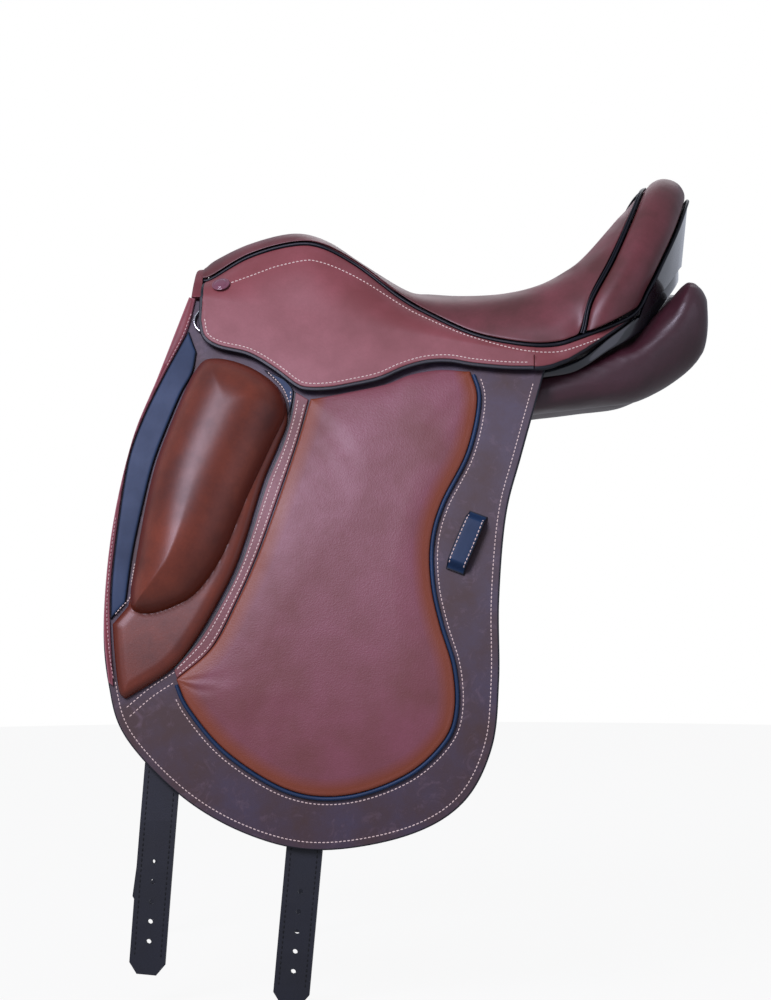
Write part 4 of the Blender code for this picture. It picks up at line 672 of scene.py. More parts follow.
# Patent leather: a thick clear lacquer over black, with mirror-like reflections
PATENT = leather("patent", "#0b0e15", "#080a10", grain=1.5, relief=0.01, rough=0.28, coat=1.0,
                 coat_rough=0.05)
BILLET = leather("billet_hide", "#1c1f28", "#131519", grain=0.9, relief=0.08, rough=0.50)
WEB = leather("webbing", "#cfc3a6", "#b3a583", grain=1.6, relief=0.25, rough=0.80)
EDGING = leather("edge_hide", "#7d3438", "#561d22", grain=0.8, relief=0.05, rough=0.45,
                 rim="#9a5c62", rim_width=2.0)
NAIL = leather("nail_cover", "#7a4050", "#5c2c3c", grain=0.8, relief=0.02, rough=0.22, coat=0.8,
               coat_rough=0.12)
RESIN = leather("tree_shell", "#2e2825", "#231e1c", grain=2.5, relief=0.10, rough=0.55)
STEEL = metal("polished_steel", "#d6d7da", 0.12, 0.08)
SPRING = metal("spring_steel", "#a9abb0", 0.28, 0.12)
# Waxed linen thread
THREAD = leather("linen_thread", "#ecd9ca", "#d6baa8", grain=0.5, relief=0.05, rough=0.65)
DARK_THREAD = leather("dark_thread", "#d0a6a0", "#b0857f", grain=0.5, relief=0.05, rough=0.65)
BLACK_THREAD = leather("black_thread", "#07090d", "#05070a", grain=0.5, relief=0.05, rough=0.7)


def mirrored(mesh):
    """Copy of a left-hand mesh for the right side."""
    copy = mesh.copy()
    places = np.empty(len(copy.vertices) * 3)
    copy.vertices.foreach_get("co", places)
    places[1::3] *= -1.0
    copy.vertices.foreach_set("co", places)
    copy.flip_normals()
    copy.update()
    return copy


def add(name, mesh, material, body, slot, *nodes):
    """Show a piece: it rides on a body, takes a material and hides the CAD nodes that it stands
    for; slot is not used.
    """
    piece = bpy.data.objects.new(name, mesh)
    bpy.context.scene.collection.objects.link(piece)
    mesh.materials.clear()
    mesh.materials.append(material)
    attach(piece, body)
    if nodes:
        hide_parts(*nodes)
    return piece


def sew(name, rows, dye, body, **shape):
    """Stitches along rows, on both sides."""
    add_pair(name, thread(name, rows, **shape), dye, body, None)


def add_pair(name, mesh, material, body, slot, *nodes):
    """The piece on both sides; a body or node that isn't the saddle's own is named by side."""
    made = []
    for side in ("left", "right"):
        data = mesh if side == "left" else mirrored(mesh)
        rider = body if body == "saddle" else f"{side}_{body}"
        made.append(add(f"{side}_{name}", data, material, rider, slot,
                        *(f"{side}_{node_name}" for node_name in nodes)))
    return made


# Seat, cantle and pommel


def seam_points():
    """Seat seam from the left front, along the seat, up the back of the cantle and down."""
    side = [row[:3] for row in SEAT_RIBS] + [CANTLE_RIM[0][:3]]
    rows = mirrored_rows(side + [row[3:6] for row in CANTLE_RIM], [1])
    return smooth(rows, (len(rows) - 1) * N + 1)


def seat_table():
    """Edge x, y, z, crown x, z and lift at every station, pommel to cantle."""
    rows = SEAT_RIBS + [front[:3] + crown for front, crown in zip(CANTLE_RIM, CANTLE_CROWNS)]
    table = smooth(rows, (len(rows) - 1) * N + 1)
    table[:, 1] *= -1.0
    sewn = len(SEAT_RIBS) * N + 1
    table[:sewn, :3] = SEAM[:sewn]
    return table


def front_seam():
    """Seam along the front of the cantle rim, from left to right."""
    left = seat_table()[len(SEAT_RIBS) * N:, :3]
    return np.vstack([left, left[-2::-1] * (1.0, -1.0, 1.0)])


def shortened(rows, ribs):
    """Rows over the same count, with a share of a rib taken off each end."""
    index = np.linspace(ribs * N, len(rows) - 1.0 - ribs * N, len(rows))
    return np.column_stack([np.interp(index, np.arange(len(rows)), column) for column in rows.T])


def relaxed(grid, first, rounds):
    """Grid of points whose inner ones, from row first on, are averaged with their neighbours."""
    grid = grid.copy()
    share = ease(np.arange(1, len(grid) - 1), first, first + N)[:, None, None] * 0.8
    for _ in range(rounds):
        around = (grid[:-2, 1:-1] + grid[2:, 1:-1] + grid[1:-1, :-2] + grid[1:-1, 2:]) / 4.0
        grid[1:-1, 1:-1] += share * (around - grid[1:-1, 1:-1])
    return grid


def seat_surface(columns=73):
    """Ribs of the seat: rounded arches from seam to seam, x and z rising to the crown as
    (1 - |s|^2.5)^(1/1.9) of the share s across, with a lift at the shoulders."""
    table = seat_table()
    edges = table[:, :3]
    rise = np.column_stack([table[:, 3] - table[:, 0], 0.0 * table[:, 0],
                            table[:, 4] - table[:, 2]])
    crest = unit((table[-N - 1] - table[-1])[[3, 4]])
    ending = ease(np.arange(len(table)), len(table) - 2 * N, len(table) - 1)[:, None]
    rise = unit(rise) * (1.0 - ending) + np.array([crest[0], 0.0, crest[1]]) * ending
    moved = edges + square_to(rise, unit(np.gradient(edges, axis=0))) * WELT_ROOM
    table[:, 3:5] += crest * WELT_ROOM * ending
    moved[-1] = (table[-1, 3], 0.0, table[-1, 4])
    share = np.sin(np.linspace(-math.pi / 2.0, math.pi / 2.0, columns))[None]
    arch = (1.0 - np.abs(share) ** 2.5) ** (1.0 / 1.9)
    x = moved[:, :1] + (table[:, 3:4] - moved[:, :1]) * arch
    z = (moved[:, 2:] + (table[:, 4:5] - moved[:, 2:]) * arch
         + 4.0 * table[:, 5:6] * share ** 2 * (1.0 - share ** 2))
    return relaxed(np.stack([x, np.maximum(-moved[:, 1:2], 0.0) * share, z], -1), 6 * N, 30)


def roll_sections():
    """Cantle roll: a bowed outer face, swell * (1 - |2s - 1|^2.3)^0.5, over a flat inner one."""
    front, back = front_seam(), SEAM[RIM_START:-RIM_START]
    swell = smooth(mirrored_rows([row[6:] for row in CANTLE_RIM], []), len(front))
    front, back, swell = (shortened(rows, 0.2) for rows in (front, back, swell))
    chord = unit(back - front)
    front = front + WELT_ROOM * square_to(chord, unit(np.gradient(front, axis=0)))
    back = back - WELT_ROOM * square_to(chord, unit(np.gradient(back, axis=0)))
    out = unit(np.cross(back - front, np.gradient(front + back, axis=0)))
    out *= np.sign(out[len(out) // 2, 2])
    share = (0.5 - 0.5 * np.cos(np.linspace(0.0, math.pi, 33)))[None, :, None]
    bow = swell[:, None] * (1.0 - np.abs(2.0 * share - 1.0) ** 2.3) ** 0.5
    outer = front[:, None] + (back - front)[:, None] * share + out[:, None] * bow
    outer = relaxed(outer, 0, 6)
    away = np.minimum(share, 1.0 - share)[..., 0] * np.linalg.norm(back - front, axis=1)[:, None]
    share = np.array([0.96, 0.5, 0.04])[None, :, None]
    inner = front[:, None] + (back - front)[:, None] * share - out[:, None] * 0.0008
    away = np.concatenate([away * 1000.0, np.zeros((len(away), 3))], axis=1)
    return np.concatenate([outer, inner], axis=1), away


def cantle_back_surface():
    """Ruled face from the back seam to the lower hem of the cantle."""
    upper = SEAM[RIM_START:-RIM_START]
    lower = smooth(mirrored_rows(CANTLE_BACK_HEM, [1]), len(upper))
    down = square_to(lower - upper, unit(np.gradient(upper, axis=0)))
    upper = upper + down * 0.0030
    share = np.linspace(0.0, 1.0, 17)[None, :, None]
    grid = upper[:, None] + (lower - upper)[:, None] * share
    return grid[N // 2:-(N // 2)]


def facing_sections():
    """Patent strip round the back: a rounded oblong, as high as the strip, carried along it."""
    rows = smooth(mirrored_rows(REAR_FACING, [1]), 181)
    x, y, z, tall = rows.T
    inward = unit(np.column_stack([-np.maximum(x - 0.05, 0.0) * 8.0, -y, 0.0 * x])) * 0.004
    c, s = (value[None, :, None] for value in squared(20, 0.6))
    centre = np.column_stack([x, y, z - tall / 2.0]) + inward / 2.0
    up = np.column_stack([0.0 * x, 0.0 * x, tall / 2.0])
    return centre[:, None] + up[:, None] * c - inward[:, None] / 2.0 * s


def pommel_sections():
    """Rolled edge of the pommel: one rounded section between its outer and its inner edge."""
    both = smooth(mirrored_rows(POMMEL_EDGES, [0, 2]), 97)
    outer, inner = both[:, :2], both[:, 2:]
    middle = 1.0 - np.abs(outer[:, :1]) / 0.083
    rear = -0.2716 - 0.0020 * middle
    front = -0.2810 + 0.0010 * middle
    profile = smooth([(0.0, 0.0), (0.75, 0.05), (1.0, 0.30), (1.0, 0.62), (0.75, 0.92),
                      (0.0, 1.0)], 21)
    x = rear + (front - rear) * profile[None, :, 0]
    share = profile[None, :, 1, None]
    return np.concatenate([x[..., None], outer[:, None] + (inner - outer)[:, None] * share], -1)


def band_surface():
    """Sewn upper part of the skirt: each section leaves the seam and meets the fold line in
    the plane of the skirt, as a cubic with given end slopes; behind, it ends at its own hem."""
    x = SEAM[:RIM_START, 0]
    turn = np.interp(SKIRT_REAR_X + GAP, x, np.arange(len(x)))
    stations = np.arange(len(x), dtype=float)
    stations = np.sort(np.r_[stations[np.abs(stations - turn) > 0.3], turn - 1e-3, turn + 1e-3])
    seam = np.column_stack([np.interp(stations, np.arange(len(SEAM)), column)
                            for column in SEAM.T])
    x = seam[:, 0]
    ahead = unit(np.gradient(seam, stations, axis=0))
    hem = np.array(SKIRT_REAR_HEM)
    place = np.minimum(x, hem[-1, 0])
    rear = np.column_stack([np.interp(place, hem[:, 0], column) for column in hem.T])
    rear[:, 1] *= -1.0
    behind = (x > SKIRT_REAR_X + GAP)[:, None]
    fold = np.column_stack([x, np.where(behind[:, 0], 0.0337, fold_z(x))])
    sewn = on_side(fold, SKIRT_FACE)
    inward = ease(x, SKIRT_REAR_X, SKIRT_REAR_X + 0.022)[:, None]
    low = sewn * (1.0 - inward) + rear * inward
    down = square_to(low - seam, ahead)
    out = unit(np.cross(ahead, down))
    out *= -np.sign(out[:, 1:2])
    high = seam + down * 0.0021
    reach = np.linalg.norm(low - high, axis=1, keepdims=True)
    hanging = unit(on_side(fold - (0.0, 0.003), SKIRT_FACE) - sewn)
    end_slope = unit(hanging * (1.0 - inward) + unit(low - high - out * 0.010) * inward)
    start_slope = unit(low - high + out * reach * 0.35)
    s = np.linspace(0.0, 1.0, 25)[None, :, None]
    grid = ((2 * s ** 3 - 3 * s ** 2 + 1) * high[:, None] + (s ** 3 - 2 * s ** 2 + s)
            * (start_slope * reach)[:, None] + (3 * s ** 2 - 2 * s ** 3) * low[:, None]
            + (s ** 3 - s ** 2) * (end_slope * reach)[:, None])
    return grid, out, behind


SEAM = seam_points()
RIM_START = (len(SEAT_RIBS) + 1) * N   # first station of the seam behind the cantle


def add_top():
    """Seat, cantle, pommel and skirt bands."""
    top = seat_surface()
    normal = grid_normals(top)
    normal *= np.sign(normal[len(normal) // 2, 36, 2])
    share = np.abs(np.linspace(-1.0, 1.0, top.shape[1]))[None, :, None]
    bottom = top - normal * (0.0018 + 0.010 * (1.0 - share))
    away = distance_to(top, rim_of(top)) * 1000.0
    seat = slab("seat", top, bottom, away, sewn=True)
    seat = add("seat", puffed(seat, 4.0, 0.006, 0.0012), CHESTNUT, "saddle", "seat_leather",
               "seat_cover", "seat_foam")
    sections, away = roll_sections()
    roll = puffed(swept("cantle_padding", sections, away), 4.0, 0.006, 0.0010)
    roll = add("cantle_padding", roll, CHESTNUT, "saddle", "seat_leather", "cantle_roll")
    back = cantle_back_surface()
    out = grid_normals(back)
    out *= np.sign(out[len(out) // 2, 8, 0])
    add("cantle_cover", slab("cantle_cover", back + out * 0.0004, back - out * 0.0016), PATENT,
        "saddle", "patent_leather", "cantle_back")
    add("rear_strip", swept("rear_strip", facing_sections()), PATENT, "saddle", "patent_leather",
        "rear_facing")
    add("pommel_edge", swept("pommel_edge", pommel_sections()), EDGING, "saddle", "seat_leather",
        "pommel_facing")
    away = SEAM - (0.0, 0.0, 0.10)
    away[:, 0] *= 0.3
    add("seat_piping", cord("seat_piping", SEAM, unit(away), WELT_RADIUS), PIPING, "saddle",
        "piping_leather", "seat_welt")
    gusset = shortened(front_seam(), 0.16)
    along = unit(np.gradient(gusset, axis=0))
    rearward = square_to(np.tile((1.0, 0.0, 0.25), (len(gusset), 1)), along)
    for number, shift, nodes in ((1, -0.0010, ["gusset_welt"]), (2, 0.0010, [])):
        add(f"gusset_piping_{number}",
            cord("gusset_piping", gusset + rearward * shift, rearward, 0.00105), PIPING,
            "saddle", "piping_leather", *nodes)

    grid, out, behind = band_surface()
    front_away = np.abs(grid[..., 0] - grid[0, :, 0])
    hem_away = np.linalg.norm(grid - grid[:, -1:], axis=2) + 0.1 * ~behind
    away = np.minimum(front_away, hem_away)
    fall = 0.0012 * (1.0 - dome(away, 0.0012)) + 0.0009 * (1.0 - ease(away, 0.0027, 0.0034))
    upper = grid - out[:, None] * fall[..., None]
    lower = grid - out[:, None] * 0.0030
    band = slab("skirt_top", upper, lower, away * 1000.0)
    add_pair("skirt_top", band, SKIRT, "saddle", "skirt_leather", "skirt_band")
    return grid, out


def panel_mesh():
    """Panels: flattened ovals that lean with the horse's side, stuffed until they are tight."""
    stations = np.interp(np.linspace(0.0, 1.0, 131), [0.0, 0.12, 0.85, 1.0],
                         [0.0, 2.0, 11.0, 14.0])
    rows = curve(PANEL, stations)
    c, s = squared(48, 0.8)
    x, across, z, breadth, thick, lean = (column[:, None] for column in rows.T)
    turn = np.radians(lean)
    out = across + breadth * c * np.cos(turn) + thick * s * np.sin(turn)
    up = z - breadth * c * np.sin(turn) + thick * s * np.cos(turn)
    return swept("panel", np.stack([x + 0.0 * out, -out, up], -1), keep_sharp=60.0)


# Flap and everything on it

FLAP_LINE = outline([(-0.2838, fold_z(-0.2838) - GAP, 1)] + FLAP_EDGE
                    + [(0.0467, fold_z(0.0467) - GAP, 1)])
PAD_LINE = outline(PAD_EDGE)
BLOCK_LINE = outline(BLOCK_EDGE)
BOLSTER_LINE = outline(BOLSTER_EDGE)


def flap_mesh():
    """Flap: ruled between its front and rear edge, with openings for the bar and a corner step."""
    grid = patch(stretch_of(FLAP_LINE, 0, 9), stretch_of(FLAP_LINE, 17, 9), 0.0036)
    drop = fold_z(grid[..., 0]) - grid[..., 1]
    for x_line, depth in ((NOTCH[0], NOTCH[2]), NOTCH[1:], STEP):
        near = (np.abs(grid[..., 0] - x_line) < 0.0019) & (drop < depth + 0.002)
        grid[..., 0] = np.where(near, x_line, grid[..., 0])
    middle = (grid[:-1, :-1] + grid[1:, 1:]) / 2.0
    fall = fold_z(middle[..., 0]) - middle[..., 1]
    notch = (middle[..., 0] > NOTCH[0]) & (middle[..., 0] < NOTCH[1]) & (fall < NOTCH[2])
    step = (middle[..., 0] > STEP[0]) & (fall < STEP[1])
    return side_sheet("flap", grid, 0.0, FLAP_BACK, mask=~(notch | step), radius=0.0013)


def pad_mesh():
    """Grip pad: rises from its sewn edge in a quarter ellipse 20 mm wide."""
    grid = patch(stretch_of(PAD_LINE, 26, 20), stretch_of(PAD_LINE, 5, 20), 0.0036,
                 top=stretch_of(PAD_LINE, 0, 5))
    away = distance_to(grid, rim_of(grid))
    top = 0.0009 + 0.0006 * dome(away, 0.0012) + 0.0048 * dome(away, 0.020)
    away = distance_to(grid, stretch_of(PAD_LINE, 5, 26))
    return raised("pad", grid, top, away, sewn=True)


def block_base():
    """Low base of the knee block: 9 mm high, rounded over 12 mm, and hollowed under the bolster."""
    grid = patch(stretch_of(BLOCK_LINE, 25, 14), stretch_of(BLOCK_LINE, 1, 14), 0.0024)
    away = distance_to(grid, rim_of(grid))
    under = distance_to(grid, np.vstack([BOLSTER_LINE, BOLSTER_LINE[:1]]))
    under = np.where(inside(grid, BOLSTER_LINE), under, 0.0)
    top = (0.0015 + 0.0075 * dome(away, 0.012)) * (1.0 - 0.92 * ease(under, 0.0020, 0.0075))
    crease = np.exp(-(under / 0.0012) ** 2) * ease(away, 0.003, 0.008)
    top = np.maximum(top - 0.0005 * crease, 0.0007)
    return raised("block", grid, top, away)


def bolster_mesh():
    """Bolster of the knee block: rises 40 mm as a quarter ellipse that is 46 mm wide."""
    grid = patch(stretch_of(BOLSTER_LINE, 20, 12), stretch_of(BOLSTER_LINE, 1, 12), 0.0030)
    away = distance_to(grid, rim_of(grid))
    top = 0.0012 + 0.0385 * dome(away, 0.046)
    return raised("bolster", grid, top, away, bottom=0.0010, sewn=True)


def inlay_mesh():
    """Inlay between the front binding and the block."""
    grid = patch(smooth(INLAY_FRONT, 120), smooth(INLAY_REAR, 120), 0.003)
    away = distance_to(grid, rim_of(grid))
    top = 0.0017 + 0.0013 * dome(away, 0.003)
    return raised("inlay", grid, top, away)


def binding_mesh():
    """Front binding, rolled, and gathered into small pleats between z = 0.03 and z = -0.09."""
    outer = np.vstack([[(-0.2830, fold_z(-0.2830) - 0.0002)],
                       [(x + 0.0008, z) for x, z in FLAP_EDGE[:5]]])
    grid = patch(smooth(outer, 160), smooth(BINDING_INNER, 160), 0.0018)
    away = distance_to(grid, rim_of(grid))
    z = grid[..., 1]
    gather = ease(z, -0.100, -0.080) * (1.0 - ease(z, 0.025, 0.040))
    waves = (np.sin(z * 900.0 + 3.0 * np.sin(z * 210.0)) + 0.6 * np.sin(z * 1570.0 + 1.3)
             + 0.4 * np.sin(z * 410.0))
    top = 0.0019 + 0.0023 * dome(away, 0.0035) + 0.00042 * waves * gather * dome(away, 0.003)
    return raised("binding", grid, top, away)


def strip_mesh():
    """Double-stitched strip between the block and the grip pad."""
    front = smooth(STRIP_FRONT, 120)
    grid = patch(front, smooth(STRIP_REAR, 120), 0.002)
    return side_sheet("strip", grid, STRIP_FACE, GAP, radius=0.0007, dye=[front])


def tongue_mesh():
    """Small pointed patch at the top of the strip."""
    grid = patch(smooth(TONGUE_FRONT, 40), smooth(TONGUE_REAR, 40), 0.002)
    return side_sheet("tongue", grid, 0.0032, 0.0018, radius=0.0006)


def keeper_pieces():
    """Keeper: a strap with barrel-shaped long edges, raised over the border between two feet."""
    places = np.array([(-0.0277, -0.1200), (-0.0157, -0.0957), (-0.0369, -0.1455)])
    centre, top, low = on_side(places, np.zeros(3))
    out = side_normal(places[0])
    down = square_to(low - top, out)
    across = np.cross(out, down)
    s = np.linspace(-1.0, 1.0, 61)
    across_share = np.concatenate([[-1.0, -0.985, -0.94, -0.86], np.linspace(-0.75, 0.75, 7),
                                   [0.86, 0.94, 0.985, 1.0]])
    half_long, half_wide = 0.0285, 0.0086 + 0.0008 * (1.0 - s ** 2)
    rise = 0.0012 + 0.0076 * ease(1.0 - np.abs(s), 0.02, 0.30)
    ridge = 0.0010 * np.sqrt(np.maximum(1.0 - np.abs(across_share) ** 6, 0.0))
    along = centre + down * half_long * s[:, None]
    places = along[:, None] + across * (half_wide[:, None] * across_share)[..., None]
    upper = places + out * (rise[:, None] + ridge - 0.0002)[..., None]
    lower = places + out * (rise - 0.0011)[:, None, None]
    away = np.minimum(0.0088 * (1.0 - np.abs(across_share))[None],
                      half_long * (1.0 - np.abs(s))[:, None])
    strap = slab("keeper", upper, lower, away * 1000.0)
    rows = []
    for share in (-0.78, 0.78):
        line = along + across * (half_wide * share)[:, None] + out * (rise + 0.0009)[:, None]
        rows.append((line[5:-5], np.tile(out, (len(s) - 10, 1))))
    return strap, rows


def ring_line():
    """Dee ring: straight side in its chape, arc forwards."""
    place = np.array([-0.2562, 0.0820])
    out = side_normal(place)
    ahead = on_side(place + (0.01, 0.01 * (fold_z(1.0) - fold_z(0.0))), 0.0) - on_side(place, 0.0)
    along = square_to(ahead, out)
    up = np.cross(out, along)
    origin = on_side(place, 0.0028)
    half = 0.013
    angles = np.linspace(0.15, math.pi - 0.15, 41)
    shape = np.vstack([[(0.0, -half + 0.003), (0.0, 0.0), (0.0, half - 0.003),
                        (-0.0012, half - 0.001), (-0.004, half)],
                       np.column_stack([-0.008 - 0.0134 * np.sin(angles), half * np.cos(angles)]),
                       [(-0.004, -half), (-0.0012, -half + 0.001)]])
    line = origin + shape[:, :1] * along + shape[:, 1:] * up
    return line, out


def ring_mesh():
    """Dee ring: a circle carried round the closed line."""
    line, out = ring_line()
    line = resampled(np.vstack([line, line[:1]]), np.linspace(0.0, 1.0, 97))[:-1]
    tangent = unit(np.roll(line, -1, axis=0) - np.roll(line, 1, axis=0))
    side = unit(np.cross(tangent, out))
    points = line[:, None] + 0.0013 * circles(side, out[None], 16)
    points = np.concatenate([points, points[:1]])
    return mesh_of("ring", points, cells(len(points), 16, True))


def piping_line():
    """Cord just outside the rear and lower edge of the grip pad."""
    edge = stretch_of(PAD_LINE, 5, 20)[2:-2]
    edge = resampled(edge, np.linspace(0.0, 1.0, 260))
    return inset(edge, 0.0019)


def read(mesh, name="co"):
    """Points or normals of a mesh as rows."""
    values = np.empty(len(mesh.vertices) * 3)
    mesh.vertices.foreach_get(name, values)
    return values.reshape(-1, 3)


def puffed(mesh, pressure, cap, shrink, voxel=None):
    """Cloth filled with air: it starts a little small and is blown up against its own stretch.

    Sewn rims are held. The movement is averaged with the neighbours' and kept below cap, and
    to 0.6 mm outside the shape that the piece was cut to.
    """
    frames, rounds, outside = 20, 6, 0.0006
    scene = bpy.context.scene
    piece = bpy.data.objects.new("cushion", mesh.copy())
    scene.collection.objects.link(piece)

    def applied():
        graph = bpy.context.evaluated_depsgraph_get()
        made = bpy.data.meshes.new_from_object(piece.evaluated_get(graph))
        piece.modifiers.clear()
        return made

    if voxel is not None:
        remesh = piece.modifiers.new("remesh", 'REMESH')
        remesh.mode = 'VOXEL'
        remesh.voxel_size = voxel
        piece.data = applied()
    rest, normals = read(piece.data), read(piece.data, "normal")
    free = np.ones(len(rest))
    if "edge" in piece.data.attributes:
        edge = np.empty(len(rest))
        piece.data.attributes["edge"].data.foreach_get("value", edge)
        free = ease(edge, 0.8, 4.0)
        held = piece.vertex_groups.new(name="held")
        held.add(np.flatnonzero(free < 0.5).tolist(), 1.0, 'REPLACE')
    piece.data.vertices.foreach_set("co", (rest - normals * shrink * free[:, None]).ravel())
    piece.data.update()
    cloth = piece.modifiers.new("cloth", 'CLOTH')
    cloth.settings.use_pressure = True
    cloth.settings.uniform_pressure_force = pressure
    cloth.settings.tension_stiffness = cloth.settings.compression_stiffness = 30.0
    cloth.settings.bending_stiffness = 2.0
    cloth.settings.effector_weights.gravity = 0.0
    cloth.settings.quality = 5
    if len(piece.vertex_groups):
        cloth.settings.vertex_group_mass = "held"
    cloth.point_cache.frame_start = 1
    cloth.point_cache.frame_end = frames
    for step in range(1, frames + 1):
        scene.frame_set(step)
    blown = applied()
    scene.frame_set(1)
    move = np.nan_to_num(read(blown)) - rest
    ends = np.empty(len(piece.data.edges) * 2, int)
    piece.data.edges.foreach_get("vertices", ends)
    ends = np.concatenate([ends.reshape(-1, 2), ends.reshape(-1, 2)[:, ::-1]])
    count = np.bincount(ends[:, 0], minlength=len(rest))[:, None]
    for _ in range(rounds):
        around = np.column_stack([np.bincount(ends[:, 0], move[ends[:, 1], axis], len(rest))
                                  for axis in range(3)])
        move = 0.4 * move + 0.6 * around / np.maximum(count, 1)
    move *= np.minimum(1.0, cap / np.maximum(np.linalg.norm(move, axis=1, keepdims=True), 1e-9))
    outwards = (move * normals).sum(1, keepdims=True)
    move -= normals * np.maximum(outwards - outside, 0.0)
    piece.data.vertices.foreach_set("co", (rest + move).ravel())
    piece.data.update()
    smoother = piece.modifiers.new("smooth", 'SUBSURF')
    smoother.levels = smoother.render_levels = 1
    final = applied()
    bpy.data.objects.remove(piece)
    final.shade_smooth()
    final.set_sharp_from_angle(angle=math.radians(50.0))
    return final


def add_sides(band_grid, band_out):
    """Everything on the two sides."""
    panel = puffed(panel_mesh(), 4.0, 0.008, 0.0020, voxel=0.005)
    for piece in add_pair("seat_panel", panel, PANEL_HIDE, "saddle", "panel_leather", "panel"):
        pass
    sweat = outline(SWEAT_EDGE)
    grid = patch(stretch_of(sweat, 0, 9), stretch_of(sweat, 17, 9), 0.006)
    add_pair("sweat_leather", side_sheet("sweat", grid, SWEAT_FACE, SWEAT_BACK), PANEL_HIDE,
             "saddle", "panel_leather", "sweat_flap")
    x = np.array([-0.2717, 0.0427])
    low = np.column_stack([x, fold_z(x) + GAP])
    x = np.array([x[0], -0.05, x[1]])
    high = np.column_stack([x, fold_z(x) + (0.007, 0.007, 0.003)])
    add_pair("flap_top", side_sheet("flap_top", patch(high, low, 0.004), 0.0, FLAP_BACK,
                                    radius=0.0006), PAINTED_SHEEN_HIDE, "saddle", "flap_leather", "flap_head")

    add_pair("flap_leather", flap_mesh(), PAINTED_SHEEN_HIDE, "flap", "flap_leather", "flap")
    pad = puffed(pad_mesh(), 3.0, 0.003, 0.0006)
    for piece in add_pair("padding", pad, PAD, "flap", "pad_leather", "grip_pad"):
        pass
    add_pair("block_foot", block_base(), TAN, "flap", "block_leather", "knee_block")
    bolster = puffed(bolster_mesh(), 4.0, 0.006, 0.0010)
    for piece in add_pair("bolster", bolster, TAN, "flap", "block_leather"):
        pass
    add_pair("inlay", inlay_mesh(), NAVY, "flap", "inlay_leather", "front_inlay")
    add_pair("front_edge", binding_mesh(), EDGING, "flap", "seat_leather", "front_binding")
    add_pair("strip", strip_mesh(), STRIP, "flap", "pad_leather")
    add_pair("tongue", tongue_mesh(), NAVY, "flap", "inlay_leather")
    line = piping_line()
    add_pair("pad_cord", cord("pad_cord", on_side(line, 0.0019), side_normal(line), WELT_RADIUS),
             NAVY, "flap", "piping_leather", "pad_piping")
    strap, keeper_rows = keeper_pieces()
    add_pair("keeper", strap, NAVY, "flap", "inlay_leather", "keeper_loop")
    add_pair("dee", ring_mesh(), STEEL, "dee_ring", "polished_steel", "dee_ring")

    hem = smooth(SKIRT_HEM, 260)
    x = np.linspace(-0.2722, SKIRT_REAR_X, 60)
    fold = np.column_stack([x, fold_z(x)])
    grid = patch(fold, hem, 0.0036, rims=(False, True, True, True))
    rims = [hem, np.array([fold[0], hem[0]]), np.array([hem[-1], fold[-1]])]
    skirt = side_sheet("skirt", grid, SKIRT_FACE, SKIRT_BACK, rims, radius=0.0012,
                       dye=rims[:2], ledge=(0.0030, 0.0009))
    add_pair("skirt_leather", skirt, SKIRT, "skirt", "skirt_leather", "skirt")

    add_pair("nail_head", nail_mesh(band_grid), NAIL, "saddle", "skirt_leather", "saddle_nail")
    add_threads(keeper_rows, hem, band_grid, band_out)


def nail_mesh(band_grid):
    """Nail of the skirt: a lens 17 mm wide with a groove inside its rim."""
    column = np.abs(band_grid[:, 0, 0] + 0.2517).argmin()
    row = np.abs(band_grid[column, :, 2] - 0.1173).argmin()
    along = unit(band_grid[column + 1, row] - band_grid[column - 1, row])
    down = square_to(band_grid[column, row + 1] - band_grid[column, row - 1], along)
    out = np.cross(along, down)
    out *= -np.sign(out[1])
    angle = np.linspace(0.0, TURN, 40, endpoint=False)[None]
    turn = np.linspace(0.0, math.pi, 25)[:, None]
    radius = np.sin(turn) * 0.0085
    lift = 0.0019 * (1.0 + np.cos(turn))
    lift = lift - 0.0006 * np.exp(-((radius - 0.0064) / 0.0008) ** 2) * (lift > 0.0019)
    centre = band_grid[column, row] + out * 0.0001
    nail = (centre + along * (radius * np.cos(angle))[..., None]
            + down * (radius * np.sin(angle))[..., None] + out * (lift + 0 * angle)[..., None])
    return mesh_of("nail", nail, cells(25, 40, True))


def billet_rows(head_x, degrees):
    """Rows along both edges of a billet that leans forwards from its rivet.

    x = head_x + u cos(lean) - v sin(lean), z = rivet - u sin(lean) - v cos(lean), where u is
    across the billet and v down it.
    """
    lean = math.radians(degrees)
    down = np.linspace(0.012, 0.574, 60)
    rivet_z = fold_z(head_x) - 0.020
    rows = []
    for across in (-0.0118, 0.0118):
        places = np.stack([head_x + across * math.cos(lean) - down * math.sin(lean),
                           rivet_z - across * math.sin(lean) - down * math.cos(lean)], -1)
        rows.append((on_side(places, BILLET_FACE), side_normal(places)))
    return rows


def add_billet_threads():
    """Dark stitches down both edges of the billets; those of the right side lean further."""
    for place, head_x, lean, further in BILLETS:
        for side, degrees in (("left", lean), ("right", lean + further)):
            mesh = thread(f"{place}_billet_thread", billet_rows(head_x, degrees), pitch=0.0046,
                          length=0.0032)
            if side == "right":
                mesh = mirrored(mesh)
            add(f"{side}_{place}_billet_thread", mesh, BLACK_THREAD, f"{side}_{place}_billet",
                None)


